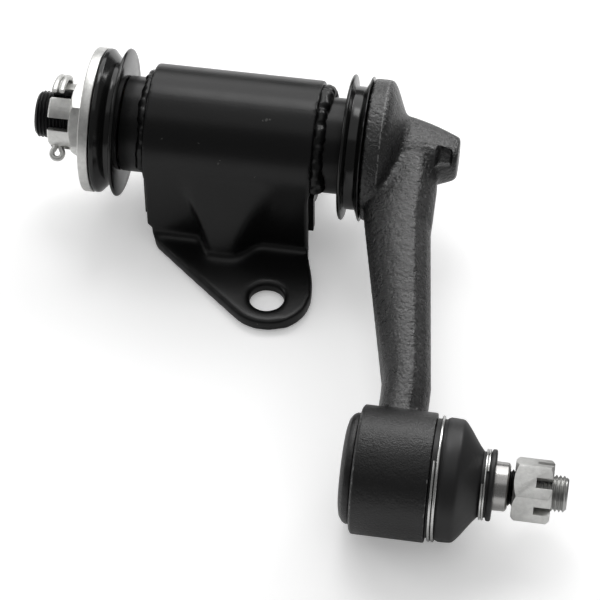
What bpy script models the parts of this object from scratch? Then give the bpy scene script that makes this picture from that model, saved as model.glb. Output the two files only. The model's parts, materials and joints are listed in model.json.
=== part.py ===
"""Steering idler arm: a welded hat-section bracket carries a pivot tube, and a forged arm turns in it.

Frame: +X along the pivot axis from the nut end to the arm end, -Y from the pivot towards the ball joint,
+Z up. z = 0 is the plane of the bracket's bolting flanges, on which the ball housing also rests.
Pieces are laid out from the middle of the saddle, and the last lines move them all so that the
origin is the middle of the bounding box's underside. Units are metres.
"""

import math

import bmesh
import bpy
from mathutils import Matrix, Vector

# Driving dimensions
GAP = 0.0003                    # running and seating clearance between touching pieces
FACETS = 32                     # steps round a large turned piece
SMALL_FACETS = 24               # steps round a small turned piece

PIVOT_HEIGHT = 0.044            # pivot axis above the mounting plane
TUBE_RADIUS = 0.0202
TUBE_WALL = 0.0037
TUBE_HALF_LENGTH = 0.0467

PLATE = 0.0060                  # thickness of the bracket's pressed plate
SADDLE_CLEARANCE = 0.0004
SADDLE_HALF_LENGTH = 0.0355
WALL_TAPER = 0.0010             # how far each wall edge stands in from the saddle's end
BEND_RADIUS = 0.0032            # inside bend between a wall and its flange
GUSSET_REACH = 0.0092           # how far the pressed gusset pushes the bend forward
GUSSET_TOP = 0.044              # height where the gusset fades into the front wall
GUSSET_EASE = 1.25              # how gently the gusset starts below its top
GUSSET_CENTRE = -0.0010
GUSSET_FLAT = 0.0040            # half the gusset's flat width at its foot
GUSSET_FLANK = 0.0120           # width of each sloping flank
GUSSET_SPREAD = 0.0065          # extra half width at the gusset's top
BOLT_HOLE_RADIUS = 0.00725
NOSE_RADIUS = 0.0182            # rounded end of the front flange
NOSE_INSET = 0.0137             # nose centre from the saddle's arm end
NOSE_REACH = 0.0246             # nose centre from the front wall's face
FRONT_HOLE_STEP = 0.0033        # hole centre beyond the nose centre
REAR_HOLE_INSET = 0.0155        # rear hole centres from the saddle's ends
REAR_REACH = 0.0209             # rear hole centres from the rear wall's face
REAR_CORNER_RADIUS = 0.0140

CRADLE_PLATE = 0.0040
CRADLE_HALF_LENGTH = 0.0363
CRADLE_FOOT = 0.0120            # height of the cradle's lower edges
NUT_END_WELD = 0.0031           # leg of the weld bead at the nut end
ARM_END_WELD = 0.0042

SHAFT_RADIUS = 0.0120
BUSH_LENGTH = 0.0260
PIVOT_THREAD_RADIUS = 0.0097
WASHER_THICKNESS = 0.0042
WASHER_RADIUS = 0.0307
PIVOT_NUT_FLATS = 0.0300        # across flats
PIVOT_HEX_HEIGHT = 0.0070
CROWN_HEIGHT = 0.0095
CROWN_RADIUS = 0.0140
CROWN_SLOT = 0.0055
PIVOT_TIP_REACH = 0.0065        # shaft beyond the crown
NUT_TURN = math.radians(2.0)    # turn of the hex about the pivot axis
COTTER_INSET = 0.0032           # cotter hole from the crown's outer face
COTTER_WIRE_RADIUS = 0.0011
COTTER_EYE_RADIUS = 0.0020

SEAL_RADIUS = 0.0315
SEAL_WEDGE_RADIUS = 0.03065
SEAL_GROOVE_RADIUS = 0.0265
SEAL_DISC = 0.0017              # thickness of the seal's thin disc
SEAL_GROOVE_WIDTH = 0.0022
SEAL_NUT_LENGTH = 0.0102
SEAL_NUT_LAND = 0.0020          # full-radius width of the wedge rim
SEAL_ARM_LENGTH = 0.0090
SEAL_ARM_LAND = 0.0006
ARM_SEAL_RADIUS = 0.0308
ARM_SEAL_GROOVE_RADIUS = 0.0260
ARM_SEAL_GROOVE_WIDTH = 0.0040

COLLAR_RADIUS = 0.0297
COLLAR_THICKNESS = 0.0071
COLLAR_FILLET = 0.0096          # how far the collar's shoulder and hollow fillet run along the elbow
ELBOW_RADIUS = 0.0144           # round core of the elbow at the fillet's end
LUG_LENGTH = 0.0311             # stop lug beyond the collar
LUG_ROOT = 0.0155               # half the elbow's depth at the collar
LUG_TIP = 0.0080                # half the lug's depth at its end
RECESS_LENGTH = 0.0084          # recess in the lug's front, along its height
RECESS_WIDTH = 0.0062
RECESS_DEPTH = 0.0022
RECESS_INSET = 0.0052           # recess centre from the lug's end

ARM_REACH = 0.1533              # ball axis in front of the pivot axis
ARM_HALF_HEIGHT = 0.0126
ARM_TIP_HALF_HEIGHT = 0.0120
ARM_TIP_INSET = 0.0046          # arm's edges inside the housing's ends
ARM_STRAIGHT = 0.0378           # untapered stretch of the arm next to the ball axis
ARM_LEFT_SLOPE = 0.232          # how fast the left edge comes across towards the collar
ARM_RIGHT_SLOPE = 0.126
ARM_RIGHT_TAPER = 0.0750        # stretch over which the right edge tapers
HOUSING_RADIUS = 0.0250         # the housing rests on the mounting plane
HOUSING_OFFSET = 0.0097         # housing's left face beyond the collar
LAND_LENGTH = 0.0042            # reduced land under the boot
LAND_STEP = 0.0038              # how far the land lies below the housing's surface
CAP_INSET = 0.0035              # cap's edge inside the housing's edge
CAP_DOME = 0.0045
CAP_SEAT_DEPTH = 0.0030
CAP_RIM = 0.0008                # cap's flange beyond its plug
HOUSING_WALL = 0.0060
MOUTH_WALL = 0.0049             # wall of the land at the mouth

BALL_BACK_ROOM = 0.0019         # from the housing's left face to the ball
SEAT_WALL = 0.0055              # bearing seat between the ball and the cavity
SEAT_BACK_INSET = 0.0025        # how far the ball stands out behind its seat
SEAT_FRONT_INSET = 0.0045       # and in front of it
STUD_NECK_RADIUS = 0.0075
STUD_NECK_END = 0.0185          # from the ball centre
STUD_TAPER_START = 0.0250
STUD_SEAT_RADIUS = 0.0094       # large end of the taper
STUD_TAPER_END = 0.0434
STUD_TIP_REACH = 0.0658
STUD_THREAD_RADIUS = 0.0070
STUD_NUT_OFFSET = 0.0451        # nut's inner face from the ball centre
STUD_NUT_FLATS = 0.0220
STUD_NUT_HEIGHT = 0.0148
STUD_NUT_SLOT = 0.0040
STUD_NUT_SLOT_DEPTH = 0.0064
STUD_NUT_TURN = math.radians(21.5)

BOOT_WALL = 0.0018
BOOT_BEAD_WALL = 0.0015
BOOT_SHOULDER_INSET = 0.0011    # boot's shoulder inside the housing's surface
BOOT_SHOULDER_LENGTH = 0.0056
BOOT_CONE_LENGTH = 0.0092       # from the shoulder to the neck's groove
BOOT_NECK_WALL = 0.0029
BOOT_NECK_WIDTH = 0.0028
BOOT_LIP = 0.0013               # lip beyond the neck's groove
BOOT_LIP_WIDTH = 0.0022
RING_WIRE_RADIUS = 0.0006       # wire of the large ring
SMALL_RING_WIRE_RADIUS = 0.00045

SADDLE_RADIUS = TUBE_RADIUS + SADDLE_CLEARANCE + PLATE
NOSE_X = SADDLE_HALF_LENGTH - NOSE_INSET
NOSE_Y = -SADDLE_RADIUS - NOSE_REACH
FRONT_HOLE_Y = NOSE_Y - FRONT_HOLE_STEP
REAR_HOLE_X = SADDLE_HALF_LENGTH - REAR_HOLE_INSET
REAR_HOLE_Y = SADDLE_RADIUS + REAR_REACH
LAND_RADIUS = HOUSING_RADIUS - LAND_STEP
CAP_RADIUS = HOUSING_RADIUS - CAP_INSET
CAVITY_RADIUS = HOUSING_RADIUS - HOUSING_WALL
MOUTH_RADIUS = LAND_RADIUS - MOUTH_WALL
BALL_RADIUS = CAVITY_RADIUS - SEAT_WALL
BALL_OFFSET = BALL_BACK_ROOM + BALL_RADIUS
HOUSING_LENGTH = BALL_OFFSET + BALL_RADIUS
SEAT_BACK = BALL_RADIUS - SEAT_BACK_INSET
SEAT_FRONT = BALL_RADIUS - SEAT_FRONT_INSET
BOOT_SHOULDER_RADIUS = HOUSING_RADIUS - BOOT_SHOULDER_INSET
BALL_Y = -ARM_REACH
BALL_Z = HOUSING_RADIUS
ARM_DROP = PIVOT_HEIGHT - BALL_Z
TUBE_BORE_RADIUS = TUBE_RADIUS - TUBE_WALL
SEAL_NUT_START = -TUBE_HALF_LENGTH - GAP - SEAL_NUT_LENGTH
SEAL_ARM_START = TUBE_HALF_LENGTH + GAP
COLLAR_START = SEAL_ARM_START + SEAL_ARM_LENGTH + GAP
COLLAR_END = COLLAR_START + COLLAR_THICKNESS
LUG_END = COLLAR_END + LUG_LENGTH
HOUSING_START = COLLAR_END + HOUSING_OFFSET
HOUSING_END = HOUSING_START + HOUSING_LENGTH
LAND_END = HOUSING_END + LAND_LENGTH
BALL_CENTRE_X = HOUSING_START + BALL_OFFSET
CAVITY_END = BALL_CENTRE_X + SEAT_FRONT + GAP
STUD_NUT_START = BALL_CENTRE_X + STUD_NUT_OFFSET
STUD_TIP = BALL_CENTRE_X + STUD_TIP_REACH
BOOT_BEAD_END = LAND_END + GAP
BOOT_SHOULDER_END = BOOT_BEAD_END + BOOT_SHOULDER_LENGTH
BOOT_NECK_START = BOOT_SHOULDER_END + BOOT_CONE_LENGTH
SMALL_RING_X = BOOT_NECK_START + BOOT_NECK_WIDTH / 2
BOOT_END = BOOT_NECK_START + BOOT_NECK_WIDTH + BOOT_LIP_WIDTH
BOOT_BORE = STUD_SEAT_RADIUS + GAP
BOOT_NECK_RADIUS = BOOT_BORE + BOOT_NECK_WALL
WASHER_END = SEAL_NUT_START - GAP
WASHER_START = WASHER_END - WASHER_THICKNESS
HEX_END = WASHER_START - GAP
HEX_START = HEX_END - PIVOT_HEX_HEIGHT
CROWN_START = HEX_START - CROWN_HEIGHT
SHAFT_TIP = CROWN_START - PIVOT_TIP_REACH
COTTER_X = CROWN_START + COTTER_INSET
COTTER_TURN = NUT_TURN + math.radians(30.0)
CENTRE_X = (SHAFT_TIP + STUD_TIP) / 2
CENTRE_Y = (BALL_Y - HOUSING_RADIUS + REAR_HOLE_Y + REAR_CORNER_RADIUS) / 2

for old in list(bpy.data.objects):
    bpy.data.objects.remove(old, do_unlink=True)

parts = bpy.data.collections.new("idler_arm_assembly")
cutters = bpy.data.collections.new("cutters")
bpy.context.scene.collection.children.link(parts)
bpy.context.scene.collection.children.link(cutters)


def make_material(name, colour, roughness, metallic):
    material = bpy.data.materials.new(name)
    material.use_nodes = True
    shader = material.node_tree.nodes["Principled BSDF"]
    shader.inputs["Base Color"].default_value = (*colour, 1.0)
    shader.inputs["Roughness"].default_value = roughness
    shader.inputs["Metallic"].default_value = metallic
    material.diffuse_color = (*colour, 1.0)
    return material


BLACK_PAINT = make_material("black_paint", (0.012, 0.012, 0.013), 0.25, 0.0)
FORGED_BLACK = make_material("forged_black", (0.020, 0.020, 0.021), 0.45, 0.0)
ZINC = make_material("zinc_plate", (0.62, 0.62, 0.60), 0.35, 1.0)
BRIGHT_STEEL = make_material("bright_steel", (0.66, 0.66, 0.67), 0.22, 1.0)
SEAL_RUBBER = make_material("seal_rubber", (0.014, 0.014, 0.014), 0.40, 0.0)
BOOT_RUBBER = make_material("boot_rubber", (0.035, 0.035, 0.037), 0.50, 0.0)
BEARING_PLASTIC = make_material("bearing_plastic", (0.75, 0.74, 0.68), 0.50, 0.0)
BRONZE = make_material("bush_bronze", (0.50, 0.36, 0.18), 0.40, 1.0)


def add_empty(name, place, parent=None):
    empty = bpy.data.objects.new(name, None)
    empty.empty_display_size = 0.01
    parts.objects.link(empty)
    empty.parent = parent
    if parent:
        empty.matrix_parent_inverse = Matrix.Translation(-Vector(parent.location))
    empty.location = place
    return empty


PIVOT_AXIS = add_empty("pivot_axis", (0.0, 0.0, PIVOT_HEIGHT))
BALL_CENTRE = add_empty("ball_centre", (BALL_CENTRE_X, BALL_Y, BALL_Z))


def add_mesh(name, mesh, material, cutter=False):
    piece = bpy.data.objects.new(name, mesh)
    if cutter:
        piece.hide_render = True
        piece.display_type = "WIRE"
        cutters.objects.link(piece)
    else:
        mesh.materials.append(material)
        parts.objects.link(piece)
    return piece


def place_on(piece, empty):
    """Parent a piece, modelled about the origin with its X offset in its mesh, to an axis empty."""
    piece.parent = empty
    if empty is BALL_CENTRE:
        piece.location = (-BALL_CENTRE_X, 0.0, 0.0)
    return piece


def turned(name, material, outline, steps=FACETS, cutter=False):
    """Revolve a closed outline of (distance along X, radius) points about the X axis."""
    closed = all(radius > 1e-6 for _, radius in outline)
    doubled_area = sum(
        a[0] * b[1] - b[0] * a[1] for a, b in zip(outline, outline[1:] + outline[:1])
    )
    points = list(outline) if doubled_area > 0 else list(reversed(outline))
    count = len(points)
    edges = [(i, (i + 1) % count) for i in range(count if closed else count - 1)]
    if not closed:
        first = next(i for i in range(count) if points[i - 1][1] <= 1e-6 and points[i][1] <= 1e-6)
        points = points[first:] + points[:first]
    mesh = bpy.data.meshes.new(name)
    mesh.from_pydata([(radius, 0.0, along) for along, radius in points], edges, [])
    piece = add_mesh(name, mesh, material, cutter)
    screw = piece.modifiers.new("turn", "SCREW")
    screw.axis = "Z"
    screw.angle = 2 * math.pi
    screw.steps = steps
    screw.render_steps = steps
    screw.use_merge_vertices = True
    screw.merge_threshold = 0.00001
    screw.use_smooth_shade = True
    piece.rotation_euler = (0.0, math.pi / 2, 0.0)
    return piece


def loft(name, material, rings, cutter=False):
    """Skin a list of rings, each with the same number of points, and close both ends."""
    work = bmesh.new()
    rows = [[work.verts.new(point) for point in ring] for ring in rings]
    count = len(rows[0])
    for low, high in zip(rows, rows[1:]):
        for i in range(count):
            work.faces.new((low[i], low[(i + 1) % count], high[(i + 1) % count], high[i]))
    work.faces.new(rows[0])
    work.faces.new(rows[-1])
    bmesh.ops.recalc_face_normals(work, faces=work.faces[:])
    mesh = bpy.data.meshes.new(name)
    work.to_mesh(mesh)
    work.free()
    return add_mesh(name, mesh, material, cutter)


def prism(name, sides, radius, start, end, turn=0.0, cutter=True):
    """A straight prism along X, with its first corner turned from +Y towards +Z."""
    work = bmesh.new()
    bmesh.ops.create_cone(
        work, cap_ends=True, segments=sides, radius1=radius, radius2=radius, depth=end - start
    )
    spin = Matrix.Rotation(turn, 4, "X") @ Matrix.Rotation(math.pi / 2, 4, "Y")
    corner = Matrix.Rotation(math.pi / 2, 4, "Z")
    bmesh.ops.transform(work, matrix=spin @ corner, verts=work.verts[:])
    bmesh.ops.translate(work, vec=((start + end) / 2, 0.0, 0.0), verts=work.verts[:])
    bmesh.ops.recalc_face_normals(work, faces=work.faces[:])
    mesh = bpy.data.meshes.new(name)
    work.to_mesh(mesh)
    work.free()
    return add_mesh(name, mesh, ZINC, cutter)


def block(name, size, centre, turn=0.0):
    """A box cutter, turned about the X axis through the origin."""
    work = bmesh.new()
    bmesh.ops.create_cube(work, size=1.0)
    bmesh.ops.scale(work, vec=size, verts=work.verts[:])
    bmesh.ops.translate(work, vec=centre, verts=work.verts[:])
    bmesh.ops.transform(work, matrix=Matrix.Rotation(turn, 4, "X"), verts=work.verts[:])
    mesh = bpy.data.meshes.new(name)
    work.to_mesh(mesh)
    work.free()
    return add_mesh(name, mesh, None, cutter=True)


def drill(name, radius, low, high, steps=SMALL_FACETS):
    """A round cutter between two points."""
    low, high = Vector(low), Vector(high)
    work = bmesh.new()
    bmesh.ops.create_cone(
        work, cap_ends=True, segments=steps, radius1=radius, radius2=radius, depth=(high - low).length
    )
    turn = (high - low).to_track_quat("Z", "Y").to_matrix().to_4x4()
    bmesh.ops.transform(work, matrix=Matrix.Translation((low + high) / 2) @ turn, verts=work.verts[:])
    mesh = bpy.data.meshes.new(name)
    work.to_mesh(mesh)
    work.free()
    return add_mesh(name, mesh, None, cutter=True)


def combine(piece, other, operation):
    step = piece.modifiers.new(other.name, "BOOLEAN")
    step.operation = operation
    step.solver = "EXACT"
    step.object = other


def wire(name, material, points, radius):
    """A round wire along a list of points."""
    curve = bpy.data.curves.new(name, "CURVE")
    curve.dimensions = "3D"
    curve.bevel_depth = radius
    curve.bevel_resolution = 2
    curve.use_fill_caps = True
    curve.resolution_u = 1
    curve.render_resolution_u = 0
    spline = curve.splines.new("POLY")
    spline.points.add(len(points) - 1)
    for target, point in zip(spline.points, points):
        target.co = (*point, 1.0)
    curve.materials.append(material)
    piece = bpy.data.objects.new(name, curve)
    parts.objects.link(piece)
    return piece


def blend(low, high, value):
    """0 below low, 1 above high, and smooth between."""
    share = min(1.0, max(0.0, (value - low) / (high - low)))
    return share * share * (3.0 - 2.0 * share)


# Bracket plate. One pressed sheet runs from the rear flange up the rear wall, over the saddle, down
# the front wall with its gusset and out along the front flange. The grid below is its outer face,
# row by row along that path, and Solidify gives it the plate's thickness on the inside.
FLANGE_TOP = PLATE
BEND_START = FLANGE_TOP + BEND_RADIUS
SADDLE_STEPS = 14
BEND_STEPS = 4
NOSE_STEPS = 7
COLUMNS = 14


def gusset_weight(x, height):
    """How strongly the gusset pushes the sheet out at x: 1 on its flat, 0 beyond its flanks."""
    rise = blend(FLANGE_TOP, GUSSET_TOP, height)
    flat = GUSSET_FLAT + GUSSET_SPREAD * rise
    return 1.0 - blend(flat, flat + GUSSET_FLANK, abs(x - GUSSET_CENTRE))


def gusset_push(x, height):
    """Forward push of the front wall's outer face at a height above the mounting plane."""
    lean = min(1.0, max(0.0, (GUSSET_TOP - height) / (GUSSET_TOP - BEND_START)))
    return GUSSET_REACH * lean**GUSSET_EASE * gusset_weight(x, height)


def front_limits(y):
    """Left and right edge of the front flange at a distance y in front of the pivot."""
    to_tangent = math.radians(49.5)
    tangent_x = NOSE_X - NOSE_RADIUS * math.cos(to_tangent)
    tangent_y = NOSE_Y - NOSE_RADIUS * math.sin(to_tangent)
    wall_x = SADDLE_HALF_LENGTH - WALL_TAPER
    reach = NOSE_RADIUS**2 - (y - NOSE_Y) ** 2
    half = math.sqrt(max(0.0, reach))
    if y <= tangent_y:
        left = NOSE_X - half
    else:
        slope = math.sin(to_tangent) / math.cos(to_tangent)
        straight = tangent_x - (y - tangent_y) * slope
        softness = 0.0040
        corner = -wall_x
        left = 0.5 * (straight + corner + math.hypot(straight - corner, softness))
    if y <= NOSE_Y:
        right = NOSE_X + half
    else:
        full = NOSE_X + NOSE_RADIUS
        start = -SADDLE_RADIUS
        right = wall_x + (full - wall_x) * math.sin(
            math.pi / 2 * min(1.0, max(0.0, (start - y) / (start - NOSE_Y)))
        )
    return left, right


def rear_limits(y):
    """Left and right edge of the rear flange, with a rounded corner round each bolt hole."""
    over = y - REAR_HOLE_Y
    wall_x = SADDLE_HALF_LENGTH - WALL_TAPER
    if over <= 0.0:
        return -wall_x, wall_x
    half = REAR_HOLE_X + math.sqrt(max(0.0, REAR_CORNER_RADIUS**2 - over**2))
    half = min(wall_x, half)
    return -half, half


def plate_rows():
    """Rows of the bracket's outer face as (left, right, function from x to (y, z))."""
    rows = []
    wall_x = SADDLE_HALF_LENGTH - WALL_TAPER
    rear_end = REAR_HOLE_Y + REAR_CORNER_RADIUS
    for step in range(NOSE_STEPS):
        angle = math.pi / 2 * (1.0 - step / NOSE_STEPS)
        y = REAR_HOLE_Y + REAR_CORNER_RADIUS * math.sin(angle)
        y = min(y, rear_end - 0.00002)
        rows.append((*rear_limits(y), lambda x, y=y: (y, FLANGE_TOP)))
    rows.append((-wall_x, wall_x, lambda x: (REAR_HOLE_Y, FLANGE_TOP)))
    for step in range(BEND_STEPS + 1):
        angle = math.pi / 2 * step / BEND_STEPS
        y = SADDLE_RADIUS + BEND_RADIUS * (1.0 - math.sin(angle))
        z = FLANGE_TOP + BEND_RADIUS * (1.0 - math.cos(angle))
        rows.append((-wall_x, wall_x, lambda x, y=y, z=z: (y, z)))
    rows.append((-wall_x, wall_x, lambda x: (SADDLE_RADIUS, PIVOT_HEIGHT - 0.006)))
    for step in range(SADDLE_STEPS + 1):
        angle = math.pi * step / SADDLE_STEPS
        y = SADDLE_RADIUS * math.cos(angle)
        z = PIVOT_HEIGHT + SADDLE_RADIUS * math.sin(angle)
        half = SADDLE_HALF_LENGTH
        rows.append((-half, half, lambda x, y=y, z=z: (y, z)))
    wall_steps = 5
    for step in range(wall_steps):
        z = PIVOT_HEIGHT - 0.006 - (PIVOT_HEIGHT - 0.006 - BEND_START) * step / wall_steps

        def wall(x, z=z):
            return (-SADDLE_RADIUS - gusset_push(x, z), z)

        rows.append((-wall_x, wall_x, wall))
    for step in range(BEND_STEPS + 1):
        angle = math.pi / 2 * step / BEND_STEPS
        out = BEND_RADIUS * (1.0 - math.cos(angle))
        z = BEND_START - BEND_RADIUS * math.sin(angle)

        def bend(x, out=out, z=z):
            return (-SADDLE_RADIUS - gusset_push(x, z) - out, z)

        left, right = front_limits(-SADDLE_RADIUS - out)
        rows.append((left, right, bend))
    bend_end = -SADDLE_RADIUS - BEND_RADIUS
    tip = NOSE_Y - NOSE_RADIUS
    flange_steps = 4
    for step in range(1, flange_steps + 1):
        share = step / flange_steps
        y = bend_end + (NOSE_Y - bend_end) * share

        def flange(x, y=y, share=share):
            fade = max(0.0, 1.0 - share) ** 2
            return (y - GUSSET_REACH * fade * gusset_weight(x, FLANGE_TOP), FLANGE_TOP)

        rows.append((*front_limits(y), flange))
    for step in range(1, NOSE_STEPS + 1):
        y = NOSE_Y - NOSE_RADIUS * math.sin(math.pi / 2 * step / NOSE_STEPS)
        y = max(y, tip + 0.00002)
        rows.append((*front_limits(y), lambda x, y=y: (y, FLANGE_TOP)))
    return rows


def build_bracket():
    work = bmesh.new()
    grid = []
    for left, right, place in plate_rows():
        line = []
        for column in range(COLUMNS + 1):
            share = column / COLUMNS
            x = left + (right - left) * share
            y, z = place(x)
            line.append(work.verts.new((x, y, z)))
        grid.append(line)
    for low, high in zip(grid, grid[1:]):
        for column in range(COLUMNS):
            work.faces.new((low[column], low[column + 1], high[column + 1], high[column]))
    mesh = bpy.data.meshes.new("mounting_bracket")
    bmesh.ops.recalc_face_normals(work, faces=work.faces[:])
    work.normal_update()
    highest = max(work.faces, key=lambda face: face.calc_center_median().z)
    if highest.normal.z < 0:
        bmesh.ops.reverse_faces(work, faces=work.faces[:])
    work.to_mesh(mesh)
    work.free()
    piece = add_mesh("mounting_bracket", mesh, BLACK_PAINT)
    shell = piece.modifiers.new("plate", "SOLIDIFY")
    shell.thickness = PLATE
    shell.offset = -1.0
    shell.use_even_offset = True
    shell.use_quality_normals = True
    holes = (
        ("front_bolt_hole", NOSE_X, FRONT_HOLE_Y),
        ("rear_left_bolt_hole", -REAR_HOLE_X, REAR_HOLE_Y),
        ("rear_right_bolt_hole", REAR_HOLE_X, REAR_HOLE_Y),
    )
    for name, x, y in holes:
        combine(piece, drill(name, BOLT_HOLE_RADIUS, (x, y, -PLATE), (x, y, 2 * PLATE)), "DIFFERENCE")
    return piece


# Pivot tube, the cradle plate welded under it and the two weld beads round its ends.
def build_pivot_tube():
    chamfer = 0.0006
    end = TUBE_HALF_LENGTH
    outline = [
        (-end, TUBE_BORE_RADIUS),
        (-end, TUBE_RADIUS - chamfer),
        (-end + chamfer, TUBE_RADIUS),
        (end - chamfer, TUBE_RADIUS),
        (end, TUBE_RADIUS - chamfer),
        (end, TUBE_BORE_RADIUS),
    ]
    return place_on(turned("pivot_tube", BLACK_PAINT, outline), PIVOT_AXIS)


def build_tube_cradle():
    """Bent plate: a trough under the tube with a leg down each wall's inside."""
    outer_leg = SADDLE_RADIUS - PLATE - GAP
    trough = TUBE_RADIUS + GAP
    inner_leg = outer_leg - CRADLE_PLATE
    under = trough + CRADLE_PLATE
    steps = 10
    start = math.asin(inner_leg / trough) if inner_leg < trough else math.pi / 2
    top = [
        (trough * math.sin(-start + 2 * start * i / steps), -trough * math.cos(-start + 2 * start * i / steps))
        for i in range(steps + 1)
    ]
    reach = math.asin(inner_leg / under)
    below = [
        (under * math.sin(reach - 2 * reach * i / steps), -under * math.cos(reach - 2 * reach * i / steps))
        for i in range(steps + 1)
    ]
    foot = CRADLE_FOOT - PIVOT_HEIGHT
    shoulder = -math.sqrt(max(0.0, trough**2 - inner_leg**2))
    section = [(-outer_leg, foot), (-outer_leg, shoulder)]
    section += top
    section += [(outer_leg, shoulder), (outer_leg, foot), (inner_leg, foot)]
    section += below
    section += [(-inner_leg, foot)]
    rings = [[(x, y, z) for y, z in section] for x in (-CRADLE_HALF_LENGTH, CRADLE_HALF_LENGTH)]
    return place_on(loft("tube_cradle", BLACK_PAINT, rings), PIVOT_AXIS)


def build_weld_bead(name, side, leg):
    """A rippled fillet weld between the saddle's end and the tube, over the top and down both sides."""
    start, end = math.radians(-28.0), math.radians(208.0)
    steps = 33
    ripples = 11
    rings = []
    for step in range(steps + 1):
        share = step / steps
        angle = start + (end - start) * share
        ripple = 1.0 + 0.07 * math.sin(2 * math.pi * ripples * share)
        taper = min(1.0, 0.35 + 8.0 * share, 0.35 + 8.0 * (1.0 - share))
        size = leg * ripple * taper
        foot = SADDLE_HALF_LENGTH + GAP
        root = TUBE_RADIUS + GAP
        ring = []
        bulge = 0.80
        for along, up in ((0.0, 0.0), (1.0, 0.0), (bulge, 0.48), (0.48, bulge), (0.0, 1.0)):
            radius = root + size * up
            ring.append(
                (side * (foot + size * along), radius * math.cos(angle), radius * math.sin(angle))
            )
        rings.append(ring)
    return place_on(loft(name, BLACK_PAINT, rings), PIVOT_AXIS)


def build_bush(name, side):
    outer = TUBE_BORE_RADIUS - GAP
    inner = SHAFT_RADIUS + GAP
    start, end = TUBE_HALF_LENGTH - BUSH_LENGTH, TUBE_HALF_LENGTH
    outline = [(side * start, inner), (side * start, outer), (side * end, outer), (side * end, inner)]
    return place_on(turned(name, BRONZE, outline, SMALL_FACETS), PIVOT_AXIS)


def build_dust_seal(name, wedge_face, direction, length, land, disc_radius, groove_radius, groove_width):
    """Rubber spool: a wedge rim at wedge_face, a groove and a thin flat disc towards the tube."""
    bore = SHAFT_RADIUS + GAP
    rounding = 0.0006
    disc_foot = length - SEAL_DISC - rounding

    def at(along, radius):
        return (wedge_face + direction * along, radius)

    outline = [
        at(0.0, bore),
        at(0.0, SEAL_WEDGE_RADIUS - rounding),
        at(0.4 * land, SEAL_WEDGE_RADIUS),
        at(land, SEAL_WEDGE_RADIUS - GAP / 2),
        at(disc_foot - groove_width, groove_radius),
        at(disc_foot, groove_radius),
        at(length - SEAL_DISC, disc_radius - rounding),
        at(length - SEAL_DISC + rounding, disc_radius),
        at(length, disc_radius - 2 * rounding),
        at(length, bore),
    ]
    return place_on(turned(name, SEAL_RUBBER, outline), PIVOT_AXIS)


# Arm forging: shaft, collar, elbow with its stop lug, tapering arm and ball housing in one piece.
ARM_POINTS = 24


def forged_section(left, right, half_height, centre_z, y):
    """Section across the arm: widest on the parting line, drafted flanks and a crowned top and bottom."""
    centre = (left + right) / 2
    half = (right - left) / 2
    ring = []
    for i in range(ARM_POINTS):
        angle = 2 * math.pi * i / ARM_POINTS
        c, s = math.cos(angle), math.sin(angle)
        sharp = 1.0 / (abs(c) ** 1.7 + abs(s) ** 1.7) ** (1 / 1.7)
        ring.append((centre + half * c * sharp, y, centre_z + half_height * s * sharp))
    return ring


def arm_edges(reach):
    """Left and right edge of the arm at a distance in front of the pivot axis."""
    tapered = max(0.0, ARM_REACH - ARM_STRAIGHT - reach)
    left = HOUSING_START + ARM_TIP_INSET - ARM_LEFT_SLOPE * tapered
    right = HOUSING_END - ARM_TIP_INSET - ARM_RIGHT_SLOPE * min(tapered, ARM_RIGHT_TAPER)
    return max(left, COLLAR_START + 0.0016), right


def build_arm_blank():
    rings = []
    stations = 13
    first, last = -0.0030, ARM_REACH - 0.0060
    for i in range(stations):
        reach = first + (last - first) * i / (stations - 1)
        share = max(0.0, reach) / ARM_REACH
        left, right = arm_edges(reach)
        root = 0.0045 * (1.0 - blend(0.0, 0.0180, reach))
        half_height = ARM_HALF_HEIGHT + (ARM_TIP_HALF_HEIGHT - ARM_HALF_HEIGHT) * share - root / 2
        centre_z = PIVOT_HEIGHT - ARM_DROP * share
        rings.append(forged_section(left, right - root, half_height, centre_z, -reach))
    return loft("arm_blank", None, rings, cutter=True)


def build_elbow_blank():
    """Tapering boss round the pivot axis from inside the collar out to the stop lug."""
    rings = []
    stations = 8
    start = COLLAR_END - 0.0020
    for i in range(stations):
        share = i / (stations - 1)
        x = start + (LUG_END - start) * share
        half_depth = LUG_ROOT - (LUG_ROOT - LUG_TIP) * share**1.8
        if i == stations - 1:
            half_depth -= 0.0010
        half_height = 0.94 * half_depth
        ring = []
        for k in range(ARM_POINTS):
            angle = 2 * math.pi * k / ARM_POINTS
            c, s = math.cos(angle), math.sin(angle)
            soft = 1.0 / (abs(c) ** 2.8 + abs(s) ** 2.8) ** (1 / 2.8)
            ring.append((x, half_depth * c * soft, PIVOT_HEIGHT + half_height * s * soft))
        rings.append(ring)
    return loft("elbow_blank", None, rings, cutter=True)


def build_lug_recess():
    """Tapered pocket in the lug's sloping front, wider at its mouth than at its bottom."""
    facing = Vector((0.0, -0.66, 0.75))
    along_lug = Vector((1.0, 0.0, 0.0))
    up_lug = facing.cross(along_lug)
    centre = Vector((LUG_END - RECESS_INSET, 0.0, PIVOT_HEIGHT))
    surface = LUG_TIP + 0.0024
    rings = []
    for height, spread in ((surface - RECESS_DEPTH, 0.55), (surface + RECESS_DEPTH, 1.45)):
        ring = []
        for k in range(12):
            angle = 2 * math.pi * (k + 0.5) / 12
            c, s = math.cos(angle), math.sin(angle)
            square = 1.0 / (abs(c) ** 4 + abs(s) ** 4) ** 0.25
            across = along_lug * (spread * RECESS_WIDTH / 2 * c * square)
            up = up_lug * (spread * RECESS_LENGTH / 2 * s * square)
            ring.append(centre + facing * height + across + up)
        rings.append(ring)
    return loft("lug_recess", None, rings, cutter=True)


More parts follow.
